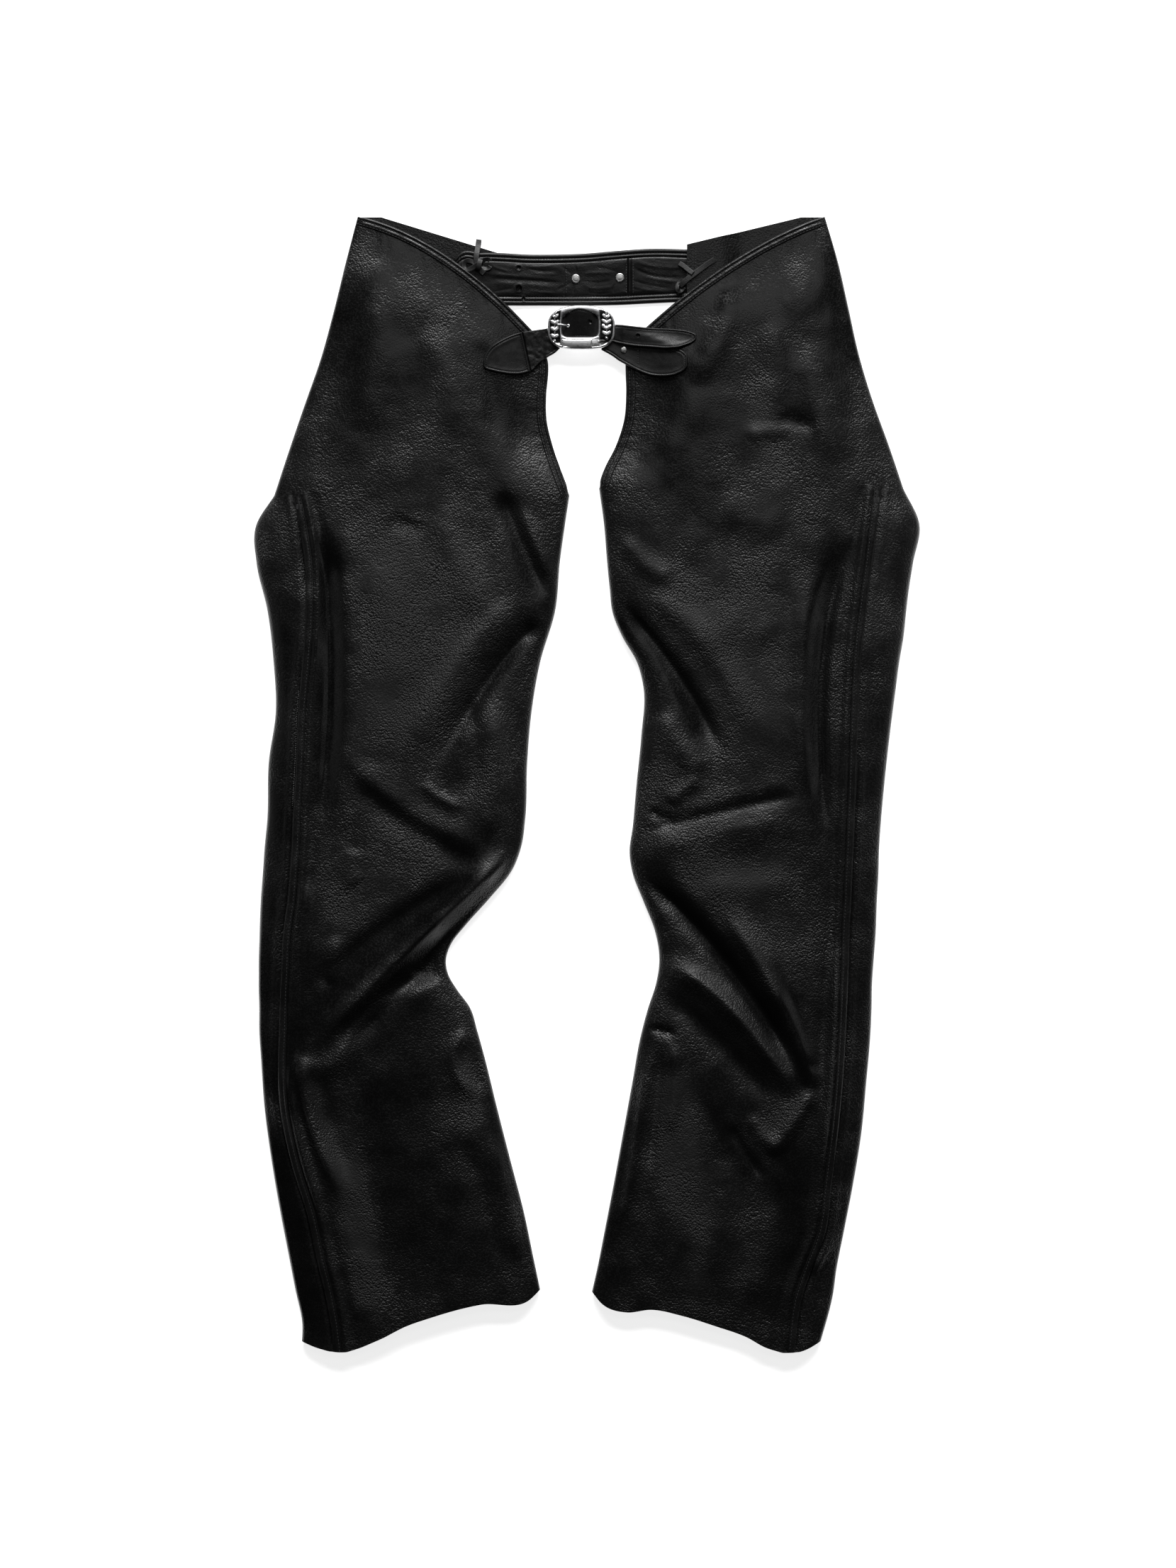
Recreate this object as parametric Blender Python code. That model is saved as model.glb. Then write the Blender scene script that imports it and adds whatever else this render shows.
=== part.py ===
"""Black leather chaps laid out flat on a table, front side up.

Each leg is a flattened leather tube of two panels, front and back, with a lapped zip along the outer side.
A rear belt joins the hips behind, and a strap with a buckle joins the two front corners.
Tables are in millimetres: x to the right, y towards the waist, z up from the table.
"""
from collections import namedtuple
import math

import bpy
import bmesh
import numpy as np
from mathutils import Matrix, Vector
from mathutils.bvhtree import BVHTree

MM = 0.001                # metres in a millimetre
MIDDLE = (-1.05, -0.25, 0.0)  # middle of the bounding box in the tables' frame, taken off at the end

# leather
WALL = 1.5                # panel leather
BAND_WALL = 1.2           # leather of the bound edges and the zip strip
STRAP_WALL = 1.8          # tabs and the tip strap
BELT_WALL = 3.0           # rear belt, two layers
LAY_GAP = 0.3             # between a piece and what it lies on
SEAM_GAP = 0.4            # between two panels at a seam

# the flattened tube of a leg
FOLD_RADIUS = 4.0         # outside radius of a folded edge
WRAP = 18.0               # how far a panel goes under past its fold
RISE = 55.0               # width over which the top rises from a folded edge
RISE_POWER = 2.2          # roundness of that rise
WAIST_HEIGHT = 7.8        # top of the front at its waist edge, clear of the rear belt
CORNER_HEIGHT = 4.8       # top of the front at its inner corner
FREE_EDGE_HEIGHT = 4.0    # top of the open crotch edge
FREE_RISE = 70.0          # width over which the front rises from its open edge
WAIST_RISE = 60.0         # width over which it rises from the waist edge
HEM_BEND = 0.72           # share of the leg after which the sections bend to the hem
HIP_LOFT = 13.0           # height of the front at the waist end of the hips, before the waist edge lowers it
CROTCH_LOFT = 15.0        # and at the crotch
HIP_LENGTH_INNER = 140.0  # length of the hips along their inner edge
HIP_LENGTH_OUTER = 260.0  # and along the outer fold
FOLD_MARGIN = 16.0        # the folds fade out this far from the inner and outer edges
WAIST_MARGIN = 30.0       # and this far from the waist
FOLD_FADE = 0.2           # share of a fold's length over which it fades in and out
BAND_WIDTH = 8.0
STRIP_HALF = 3.5          # half width of the zip strip

# columns of the panels: distances from the inner fold, from the zip and from the outer fold
INNER_STEPS = (0.0, 1.2, 4.0, BAND_WIDTH, 18.0)
MIDDLE_COLUMNS = 8
ZIP_STEPS = (28.0, 17.0, 9.0, STRIP_HALF, SEAM_GAP / 2)
OUTER_STEPS = (8.0, 4.0, 1.2, 0.0)
FLOOR_COLUMNS = 4
HIP_ROWS = 10
LONG_STEP = 32.0          # sections further apart than this get one more row between

Leg = namedtuple("Leg", "side hip sections hem folds")

# Hip sections, from the waist to the crotch. A section runs from the open inner edge to the outer fold,
# bow is how far it arches towards the waist, and seat is the hidden edge of the back panel.
# columns: inner_x, inner_y, outer_x, outer_y, bow, seat_x, seat_y
HIP_LEFT = (
    (-39.5, 410.5, -216.5, 533.0, 20.0, -85.0, 499.5),
    (-38.0, 388.0, -228.0, 489.0, 12.0, -89.0, 452.0),
    (-40.0, 365.0, -239.0, 444.5, 6.0, -112.5, 409.5),
    (-39.5, 341.5, -251.0, 400.5, 2.5, -122.5, 369.5),
    (-34.0, 318.0, -266.5, 356.0, 1.0, -112.5, 331.0),
    (-26.5, 295.0, -281.5, 312.0, 0.0, -81.0, 296.5),
    (-17.5, 271.0, -295.0, 271.0, 0.0, -39.5, 271.0),
)
HIP_RIGHT = (
    (35.5, 410.5, 222.5, 533.0, 14.0, 93.0, 507.0),
    (36.0, 388.0, 235.0, 490.5, 9.0, 93.0, 465.0),
    (36.5, 365.0, 245.0, 446.5, 5.0, 96.0, 430.5),
    (34.5, 341.5, 254.5, 404.0, 2.0, 113.5, 377.5),
    (27.0, 318.0, 267.0, 362.0, 1.0, 114.5, 333.5),
    (16.0, 295.0, 282.5, 319.0, 0.0, 81.5, 297.5),
    (10.5, 277.5, 296.5, 277.5, 0.0, 32.5, 277.5),
)

# Leg sections, from the crotch to the hem.
# columns: y, inner_x, zip_x, outer_x, loft (height of the top of the tube)
SECTIONS_LEFT = (
    (271.0, -17.5, -272.5, -295.0, 15.0),
    (244.5, -21.5, -267.0, -311.5, 15.5),
    (208.0, -26.5, -261.5, -311.5, 16.0),
    (164.5, -30.5, -260.5, -301.5, 16.5),
    (114.5, -45.0, -263.5, -295.5, 17.0),
    (68.0, -53.0, -267.5, -293.5, 17.0),
    (21.5, -57.0, -269.5, -300.0, 17.0),
    (-33.5, -59.0, -272.5, -301.5, 17.0),
    (-60.0, -63.0, -273.5, -304.0, 17.0),
    (-82.0, -72.0, -275.0, -305.5, 17.0),
    (-108.0, -93.0, -277.0, -307.5, 16.5),
    (-132.0, -114.5, -280.5, -308.5, 16.5),
    (-150.0, -128.5, -282.5, -309.0, 16.0),
    (-165.5, -133.5, -283.0, -309.5, 15.5),
    (-178.5, -131.5, -283.5, -309.5, 15.0),
    (-194.0, -122.5, -284.5, -309.5, 15.0),
    (-209.0, -111.5, -285.0, -309.0, 15.0),
    (-232.0, -104.0, -285.5, -309.0, 15.0),
    (-255.5, -97.5, -286.5, -307.5, 15.0),
    (-304.0, -85.5, -284.5, -304.0, 15.0),
    (-353.0, -73.0, -274.5, -297.5, 14.5),
    (-405.5, -59.5, -258.5, -288.5, 14.0),
    (-444.0, -51.5, -250.5, -281.0, 13.5),
    (-475.0, -45.0, -243.0, -275.0, 13.0),
    (-507.0, -39.0, -237.0, -268.5, 13.0),
    (-533.0, -34.0, -234.0, -269.5, 13.0),
)
SECTIONS_RIGHT = (
    (277.5, 10.5, 271.5, 296.5, 15.0),
    (244.5, 15.0, 267.0, 311.5, 15.5),
    (208.0, 18.0, 262.5, 305.5, 16.0),
    (182.5, 20.5, 259.0, 301.5, 16.5),
    (161.5, 23.0, 256.5, 299.0, 16.5),
    (138.0, 32.5, 253.5, 296.5, 17.0),
    (114.5, 46.0, 251.5, 292.5, 17.0),
    (91.5, 52.0, 250.5, 289.5, 17.0),
    (45.0, 50.0, 248.5, 283.5, 17.0),
    (-0.5, 45.5, 247.0, 278.5, 17.0),
    (-40.0, 42.0, 245.5, 275.0, 17.0),
    (-64.0, 39.0, 244.5, 273.5, 16.5),
    (-84.0, 42.0, 243.5, 273.0, 16.5),
    (-110.0, 52.0, 242.5, 271.5, 16.5),
    (-138.5, 63.0, 241.0, 270.5, 16.0),
    (-165.5, 67.0, 240.5, 268.5, 16.0),
    (-187.0, 64.0, 239.5, 267.0, 16.0),
    (-212.0, 56.0, 238.5, 266.5, 16.0),
    (-234.5, 50.0, 237.5, 265.5, 15.5),
    (-281.0, 41.5, 234.5, 261.5, 15.5),
    (-327.5, 33.0, 230.0, 257.0, 15.0),
    (-374.0, 24.5, 224.5, 249.5, 14.5),
    (-420.5, 15.5, 218.5, 240.5, 14.0),
    (-456.0, 8.5, 205.0, 233.5, 13.5),
    (-478.0, 3.5, 197.5, 230.5, 13.0),
    (-533.0, -8.0, 190.0, 216.0, 13.0),
)

# The hem, from the inner fold to the outer fold. columns: share of the width, y
HEM_LEFT = (
    (0.0, -475.0), (0.05, -484.0), (0.25, -488.0), (0.47, -500.5), (0.58, -509.0),
    (0.69, -521.5), (0.84, -533.0), (0.93, -529.5), (1.0, -523.5),
)
HEM_RIGHT = (
    (0.0, -477.0), (0.05, -487.5), (0.16, -495.5), (0.26, -493.0), (0.39, -498.5), (0.55, -509.0),
    (0.68, -518.5), (0.78, -529.0), (0.87, -533.5), (0.95, -530.5), (1.0, -523.5),
)

# The largest folds, each a smooth arc through three points: ridges lift the leather, troughs sink it.
# columns: start_x, start_y, middle_x, middle_y, end_x, end_y, width, lift
FOLDS_LEFT = (
    (-251.0, 231.0, -244.5, 104.5, -256.5, -48.0, 9.0, -4.5),
    (-81.5, 275.5, -63.0, 231.0, -37.5, 169.0, 10.0, -3.5),
    (-41.0, 149.5, -83.0, 112.0, -149.5, 3.5, 12.0, -5.0),
    (-66.0, 160.0, -115.0, 110.0, -170.0, 20.0, 16.0, 3.0),
    (-92.0, 77.0, -88.0, 5.0, -96.0, -57.5, 13.0, 3.0),
    (-226.5, 23.5, -171.0, -25.0, -92.0, -64.0, 13.0, 3.5),
    (-256.5, -88.0, -260.5, -141.5, -256.5, -198.5, 9.0, 2.5),
    (-63.0, -58.0, -152.5, -142.5, -259.0, -246.5, 11.0, 6.5),
    (-110.0, -88.0, -188.5, -142.0, -266.0, -208.0, 12.0, -4.0),
    (-86.0, -100.0, -160.0, -170.0, -241.0, -250.0, 10.0, -4.0),
    (-264.5, -254.5, -259.0, -307.5, -220.0, -396.5, 10.0, 3.5),
    (-102.0, -237.5, -124.5, -262.5, -99.5, -311.0, 10.0, 2.5),
    (-93.0, -321.0, -73.0, -387.5, -62.0, -454.0, 10.0, 2.0),
)
FOLDS_RIGHT = (
    (250.0, 231.0, 220.0, 104.5, 228.0, -61.5, 9.0, -4.5),
    (205.0, 187.0, 204.0, 85.0, 208.0, -11.5, 12.0, 2.0),
    (230.5, -148.0, 228.0, -261.0, 213.0, -364.0, 9.0, 2.5),
    (27.5, 174.0, 87.0, 101.5, 126.0, 26.5, 11.0, -4.5),
    (95.0, -27.0, 143.5, -15.0, 192.0, -8.0, 11.0, 4.0),
    (39.5, -58.0, 120.0, -36.0, 200.5, -20.0, 9.0, -4.0),
    (46.0, -76.0, 120.0, -58.0, 203.0, -32.0, 11.0, 3.0),
    (46.0, -80.0, 125.5, -155.0, 200.5, -276.0, 11.0, -5.0),
    (130.0, -128.0, 176.5, -208.0, 206.5, -287.5, 11.0, 5.0),
    (206.5, -287.5, 185.0, -312.0, 170.0, -350.0, 10.0, 3.0),
    (73.0, -172.0, 136.0, -217.0, 196.0, -297.0, 11.0, 5.0),
    (57.5, -242.5, 47.0, -327.5, 33.0, -418.5, 9.0, 2.5),
)

LEFT = Leg("left", HIP_LEFT, SECTIONS_LEFT, HEM_LEFT, FOLDS_LEFT)
RIGHT = Leg("right", HIP_RIGHT, SECTIONS_RIGHT, HEM_RIGHT, FOLDS_RIGHT)

# rear belt, from its left end on the left hip to its right end under the right hip
# columns: x, bottom_y, top_y
BELT_SECTIONS = (
    (-126.0, 456.0, 493.0), (-121.0, 451.0, 498.5), (-100.5, 450.0, 499.5), (-49.5, 450.0, 498.0),
    (-3.5, 450.0, 499.0), (27.0, 450.5, 501.5), (57.5, 452.0, 503.5), (91.5, 453.5, 503.0),
    (105.0, 454.0, 502.5),
)
BELT_STEPS = 28
BELT_ROWS = 4
BELT_REACH = 9.5          # the belt clears the hip's edge from this far off
HIP_OVER_BELT_X = (124.0, 146.0)  # the right hip comes down from the belt between these
HIP_OVER_BELT_Y = (405.0, 440.0)
RIVETS = ((-11.5, 475.0), (30.0, 476.0))
RIVET_RADIUS = 4.2
HEAD_HEIGHT = 1.6
HEAD_PROFILE = ((1.0, 0.0), (1.0, 0.5), (0.8, 1.2), (0.4, HEAD_HEIGHT))  # share of the radius, height
HEAD_SEGMENTS = 14
CEILING = 40.0            # rays down onto what is built start from this height
BELT_CEILING = 4.0        # and for the belt from here, under the fronts

# front tabs: leaf shapes about a straight middle line. columns: x, lower_y, upper_y
TAB_LEFT = (
    (-98.0, 391.5, 397.5), (-95.0, 389.0, 403.5), (-87.0, 386.3, 412.0), (-76.0, 384.2, 418.2),
    (-66.0, 384.6, 422.2), (-58.0, 387.0, 424.3),
)
TAB_RIGHT = (
    (24.0, 401.5, 431.0), (28.0, 398.0, 429.5), (34.0, 394.5, 427.0), (45.0, 388.5, 423.0),
    (57.5, 383.5, 419.0), (69.5, 382.0, 414.5), (83.5, 384.0, 408.5), (93.0, 390.0, 402.5),
)
TAB_SLANT = 8.0           # the left tab's seam leans this far from its top to its bottom

# tip strap, from the left tab's seam, under the frame's sides and over its window, to the tip
# columns: x, lower_y, upper_y, underside_z (not used where it lies on the fronts)
STRAP_SECTIONS = (
    (-57.5, 387.3, 424.5, 7.0),
    (-46.0, 395.0, 426.5, 7.0),
    (-38.0, 402.0, 428.0, 7.0),
    (-30.0, 409.0, 432.0, 6.6),
    (-22.0, 419.0, 438.0, 6.9),
    (-18.0, 420.0, 441.0, 7.1),
    (-14.0, 420.0, 441.7, 9.4),
    (-7.0, 420.0, 441.7, 11.6),
    (-1.0, 420.0, 441.5, 10.6),
    (3.0, 420.0, 440.8, 8.6),
    (6.5, 420.0, 439.5, 7.4),
    (13.0, 417.0, 434.5, 7.2),
    (22.0, 414.8, 432.0, 7.2),
    (30.0, 412.8, 431.0, 7.2),
    (43.5, 410.5, 429.3, 0.0),
    (59.0, 409.2, 428.0, 0.0),
    (75.5, 408.0, 427.2, 0.0),
    (89.5, 410.5, 425.5, 0.0),
    (97.0, 414.0, 423.3, 0.0),
    (101.5, 418.3, 420.5, 0.0),
)
STRAP_FREE = (-43.0, 34.0)        # between these it is held by the frame and not laid on the fronts
STRAP_STEPS = 38
STRAP_ACROSS = (0.0, 0.22, 0.42, 0.58, 0.78, 1.0)
STRAP_HOLES = ((-19.0, 6.0), (1.5, 3.2), (47.0, 3.2))   # middle and length; the prong comes through the first

# buckle: a polished frame on a bar, with a prong
FRAME_CENTRE = (-6.25, 428.25)
FRAME_HALF = (31.75, 20.75)       # outside
WINDOW_CENTRE = (-7.5, 430.8)
WINDOW_HALF = (17.0, 11.8)
FRAME_BOTTOM = 9.5
FRAME_THICK = 3.0
FRAME_SEGMENTS = 44
FRAME_POWER = 2.6                 # the superellipse of the outside
WINDOW_POWER = 5.0                # and of the window
# share of the way from the outside to the window, share of the thickness
FRAME_PROFILE = ((0.0, 0.0), (0.0, 0.45), (0.22, 0.9), (0.5, 1.0), (0.8, 0.85), (1.0, 0.45), (1.0, 0.0))
BAR_X = 14.0
BAR_Y = 427.0
BAR_HALF = 11.6
BAR_RADIUS = 1.2
BAR_Z = 3.6
PRONG_RADIUS = 1.0
# from the bar, under the strap, up through its hole and onto the frame's left side. columns: x, y, z
PRONG_ROUTE = (
    (12.4, 427.0, 4.3), (8.0, 427.6, 4.8), (-6.0, 429.0, 5.9), (-14.5, 429.8, 6.4), (-17.2, 430.0, 7.2),
    (-21.0, 430.2, 11.3), (-24.3, 430.4, 13.1), (-29.0, 430.6, 13.8),
)
LOOP_RADIUS = BAR_RADIUS + LAY_GAP
LOOP_SLOT = (3, 8)        # rows of the loop that are open for the prong
SCREW = (33.5, 407.5)
SCREW_RADIUS = 3.0

# laces: the free end of each thong from its knot. columns: x, y
LACE_RADIUS = 1.7
LACE_LEFT = ((-104.5, 493.0), (-103.8, 499.0), (-102.8, 506.0), (-102.0, 512.0))
LACE_RIGHT = ((92.0, 472.8), (99.0, 478.5), (107.0, 484.5), (115.0, 490.0), (119.0, 492.5))
LACE_STEPS = 14
# knots: flattened beads. columns: x, y, half_length, half_width, half_height
KNOT_LEFT = (-103.0, 487.0, 8.5, 4.6, 2.2)
KNOT_RIGHT = (87.2, 468.6, 4.6, 5.2, 2.2)


def clear_scene():
    """Take every object out of the scene."""
    for old in list(bpy.data.objects):
        bpy.data.objects.remove(old, do_unlink=True)


def leather(name, grey, roughness):
    """Black leather."""
    return plain_material(name, (grey, grey, grey), roughness, 0.0)


def plain_material(name, colour, roughness, metallic):
    """One Principled material."""
    material = bpy.data.materials.new(name)
    material.use_nodes = True
    shader = material.node_tree.nodes["Principled BSDF"]
    shader.inputs["Base Color"].default_value = (*colour, 1.0)
    shader.inputs["Roughness"].default_value = roughness
    shader.inputs["Metallic"].default_value = metallic
    return material


def smooth(stations, values, at):
    """Cubic curve through the values at rising stations, with its slope at each taken from its neighbours."""
    stations = np.asarray(stations, float)
    values = np.asarray(values, float)
    at = np.clip(at, stations[0], stations[-1])
    slopes = np.gradient(values, stations)
    i = np.clip(np.searchsorted(stations, at, side="right") - 1, 0, len(stations) - 2)
    step = stations[i + 1] - stations[i]
    u = (at - stations[i]) / step
    near = (1 + 2 * u) * (1 - u) ** 2 * values[i] + u * (1 - u) ** 2 * step * slopes[i]
    far = u * u * (3 - 2 * u) * values[i + 1] + u * u * (u - 1) * step * slopes[i + 1]
    return near + far


def ease(u):
    """0 below 0, 1 above 1, and a soft S between."""
    u = np.clip(u, 0.0, 1.0)
    return u * u * (3 - 2 * u)


def rise(u):
    """A quarter of a superellipse: upright at 0 and level from 1 on."""
    u = np.clip(u, 0.0, 1.0)
    return (1 - (1 - u) ** RISE_POWER) ** (1 / RISE_POWER)


def section_columns(leg):
    """The leg's section table by column, with y rising."""
    return np.array(leg.sections[::-1]).T


def leg_xy(leg, share, down):
    """Place on the outline's map: share runs from the inner edge (0) to the outer fold (1), and down from
    the waist (0) through the crotch (1) to the hem (2)."""
    hip = np.array(leg.hip).T
    rows = np.arange(len(leg.hip))
    place = np.clip(down, 0.0, 1.0) * rows[-1]
    inner_x, inner_y, outer_x, outer_y, bow = [smooth(rows, column, place) for column in hip[:5]]
    hip_x = inner_x + (outer_x - inner_x) * share
    hip_y = inner_y + (outer_y - inner_y) * share + bow * 4 * share * (1 - share)
    y, inner, _, outer, _ = section_columns(leg)
    hem_share, hem_y = np.array(leg.hem).T
    along = np.clip(down - 1.0, 0.0, 1.0)
    hem = smooth(hem_share, hem_y, share)
    crotch_y = leg.sections[0][0]
    bend = ease((along - HEM_BEND) / (1 - HEM_BEND))
    leg_y = crotch_y + along * (hem_y[0] - crotch_y) + bend * (hem - hem_y[0])
    leg_x = smooth(y, inner, leg_y) * (1 - share) + smooth(y, outer, leg_y) * share
    low = down > 1.0
    return np.where(low, leg_x, hip_x), np.where(low, leg_y, hip_y)


def zip_share(leg, down):
    """Share of the width at which the zip line lies."""
    y, inner, zip_x, outer, _ = section_columns(leg)
    share = np.full_like(down, 0.88)
    for _ in range(4):
        _, at = leg_xy(leg, share, np.maximum(down, 1.0))
        share = (smooth(y, zip_x, at) - smooth(y, inner, at)) / (smooth(y, outer, at) - smooth(y, inner, at))
    return share


def fold_height(folds, x, y):
    """Sum of the folds: each is a bell across an arc through three points, faded in and out along it."""
    total = np.zeros_like(x)
    for x0, y0, x1, y1, x2, y2, width, lift in folds:
        u = np.linspace(0.0, 1.0, 25)
        bend_x = 2 * x1 - (x0 + x2) / 2
        bend_y = 2 * y1 - (y0 + y2) / 2
        path_x = (1 - u) ** 2 * x0 + 2 * u * (1 - u) * bend_x + u * u * x2
        path_y = (1 - u) ** 2 * y0 + 2 * u * (1 - u) * bend_y + u * u * y2
        away = (x[..., None] - path_x) ** 2 + (y[..., None] - path_y) ** 2
        nearest = away.argmin(axis=-1)
        along = u[nearest]
        fade = ease(along / FOLD_FADE) * ease((1 - along) / FOLD_FADE)
        total += lift * fade * np.exp(-away.min(axis=-1) / width ** 2)
    return total


def hip_length(share):
    """Length of the hips from the waist to the crotch at a share of the width."""
    return HIP_LENGTH_INNER + (HIP_LENGTH_OUTER - HIP_LENGTH_INNER) * share


def top_height(leg, share, down, x, y, width):
    """Height of the front side of the flattened tube."""
    stations, _, _, _, lofts = section_columns(leg)
    hip_loft = HIP_LOFT + (CROTCH_LOFT - HIP_LOFT) * ease(down)
    loft = np.where(down > 1.0, smooth(stations, lofts, y), hip_loft)
    from_inner = share * width
    from_outer = (1 - share) * width
    from_waist = np.clip(down, 0, 1) * np.where(down < 1.0, hip_length(share), HIP_LENGTH_OUTER)
    tube = ease((down - 0.6) / 0.4)
    inner_rise = (1 - tube) * ease(from_inner / FREE_RISE) + tube * rise(from_inner / RISE)
    edge = CORNER_HEIGHT + (FREE_EDGE_HEIGHT - CORNER_HEIGHT) * ease(down / 0.5)
    waist_rise = ease(from_waist / WAIST_RISE)
    body = loft - (loft - edge) * (1 - inner_rise) - (loft - WAIST_HEIGHT) * (1 - waist_rise) * inner_rise
    inside = ease(from_inner / FOLD_MARGIN) * ease(from_outer / FOLD_MARGIN) * ease(from_waist / WAIST_MARGIN)
    body = body + fold_height(leg.folds, x, y) * inside
    return FOLD_RADIUS + (body - FOLD_RADIUS) * rise(from_outer / RISE)


def row_places(leg):
    """How far down each row of the panels lies, and the index of the last hip row."""
    hip = np.concatenate([[0.0], np.linspace(BAND_WIDTH / hip_length(0.5), 1.0, HIP_ROWS)])
    hip[-1] = 1.0 - SEAM_GAP / 2 / hip_length(0.5)
    crotch_y = leg.sections[0][0]
    inner_hem = leg.hem[0][1]
    stations = [row[0] for row in leg.sections if row[0] >= inner_hem]
    places = []
    for upper, lower in zip(stations, stations[1:]):
        places.append(upper)
        if upper - lower > LONG_STEP:
            places.append((upper + lower) / 2)
    places.append(inner_hem)
    down = 1.0 + (crotch_y - np.array(places)) / (crotch_y - inner_hem)
    down[0] = 1.0 + SEAM_GAP / 2 / (crotch_y - inner_hem)
    return np.concatenate([hip, down]), len(hip) - 1


def band_row(leg, share):
    """How far down the lower edge of the waist band lies at each share of the width."""
    return BAND_WIDTH / hip_length(share)


def tube_grid(leg):
    """All points of one leg's outer surface, row by row: the inner wrap, the top from the inner edge to the
    zip and on to the outer fold, the outer wrap and the floor. Returns the points, the named columns and the
    index of the last hip row."""
    down, last_hip = row_places(leg)
    share_zip = zip_share(leg, down)
    inner_x, inner_y = leg_xy(leg, np.zeros_like(down), down)
    outer_x, outer_y = leg_xy(leg, np.ones_like(down), down)
    width = np.hypot(outer_x - inner_x, outer_y - inner_y)
    shares = [step / width for step in INNER_STEPS]
    first = shares[-1]
    last = share_zip - ZIP_STEPS[0] / width
    shares += [first + (last - first) * k / (MIDDLE_COLUMNS + 1) for k in range(1, MIDDLE_COLUMNS + 1)]
    shares += [share_zip - step / width for step in ZIP_STEPS]
    front_zip = len(shares) - 1
    shares += [share_zip + step / width for step in (SEAM_GAP / 2, STRIP_HALF)]
    middle = (share_zip + STRIP_HALF / width + 1 - OUTER_STEPS[0] / width) / 2
    shares += [middle] + [1 - step / width for step in OUTER_STEPS]
    share = np.array(shares).T
    down_grid = np.repeat(down[:, None], share.shape[1], axis=1)
    down_grid[1] = band_row(leg, share[1])
    x, y = leg_xy(leg, share, down_grid)
    z = top_height(leg, share, down_grid, x, y, width[:, None])
    top = np.stack([x, y, z], axis=-1)
    side = np.sign(outer_x - inner_x)[:, None]
    top[last_hip + 1:, 0, 2] = FOLD_RADIUS
    wrap_in = [wrap_points(top[:, 0], side, distance, height) for distance, height in wrap_steps()][::-1]
    wrap_out = [wrap_points(top[:, -1], -side, distance, height) for distance, height in wrap_steps()]
    seat = seat_points(leg, down, top, side)
    start = wrap_out[-1].copy()
    start[:, 0] -= side[:, 0] * SEAM_GAP
    floor = [start + (seat - start) * k / FLOOR_COLUMNS for k in range(FLOOR_COLUMNS + 1)]
    grid = np.stack(wrap_in + list(np.moveaxis(top, 1, 0)) + wrap_out + floor, axis=1)
    columns = {"inner": len(wrap_in), "front_zip": len(wrap_in) + front_zip}
    columns["outer"] = len(wrap_in) + top.shape[1] - 1
    columns["wrap_end"] = columns["outer"] + len(wrap_out)
    columns["end"] = grid.shape[1] - 1
    if leg.side == "right":
        lift_over_belt(grid, columns)
    return grid, columns, last_hip


def wrap_steps():
    """Distance in from the fold and height, from just under the fold to the wrap's end."""
    half = FOLD_RADIUS * (1 - math.sqrt(0.5))
    return ((half, half), (FOLD_RADIUS, 0.0), (FOLD_RADIUS + WRAP, 0.0))


def wrap_points(edge, side, distance, height):
    """The fold's edge moved in by a distance and put at a height."""
    points = edge.copy()
    points[:, 0] += side[:, 0] * distance
    points[:, 2] = height
    return points


def seat_points(leg, down, top, side):
    """The back panel's far edge: the hidden seat edge at the hips, and the inner seam below the crotch."""
    hip = np.array(leg.hip).T
    place = np.clip(down, 0.0, 1.0) * (len(leg.hip) - 1)
    seat = np.zeros((len(down), 3))
    for axis in (0, 1):
        seat[:, axis] = smooth(np.arange(len(leg.hip)), hip[5 + axis], place)
    low = down > 1.0
    seam = top[:, 0].copy()
    seam[:, 0] += side[:, 0] * (FOLD_RADIUS + WRAP + SEAM_GAP)
    seam[:, 2] = 0.0
    return np.where(low[:, None], seam, seat)


def lift_over_belt(grid, columns):
    """Lift the right hip's corner over the end of the rear belt."""
    floor = grid[:, columns["wrap_end"] + 1:]
    over = ease((HIP_OVER_BELT_X[1] - floor[..., 0]) / (HIP_OVER_BELT_X[1] - HIP_OVER_BELT_X[0]))
    over = over * ease((floor[..., 1] - HIP_OVER_BELT_Y[0]) / (HIP_OVER_BELT_Y[1] - HIP_OVER_BELT_Y[0]))
    floor[..., 2] += (BELT_WALL + 2 * LAY_GAP) * over


def patch(rows, columns):
    """Quads of a rectangle of the grid, as pairs of row and column."""
    quads = []
    for r0, r1 in zip(rows, rows[1:]):
        for c0, c1 in zip(columns, columns[1:]):
            quads.append(((r0, c0), (r0, c1), (r1, c1), (r1, c0)))
    return quads


def grid_normals(grid, quads):
    """Unit normals at the grid's points, each the mean of its faces' own."""
    total = np.zeros_like(grid)
    for quad in quads:
        a, b, c, d = [grid[corner] for corner in quad]
        normal = np.cross(c - a, d - b)
        size = np.linalg.norm(normal)
        if size > 0:
            for corner in quad:
                total[corner] += normal / size
    size = np.linalg.norm(total, axis=-1, keepdims=True)
    return total / np.where(size > 0, size, 1.0)


def share_normals(normals, pairs):
    """Give each pair of points across a seam their mean normal."""
    for one, other in pairs:
        mean = normals[one] + normals[other]
        mean = mean / np.linalg.norm(mean)
        normals[one] = mean
        normals[other] = mean


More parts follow.
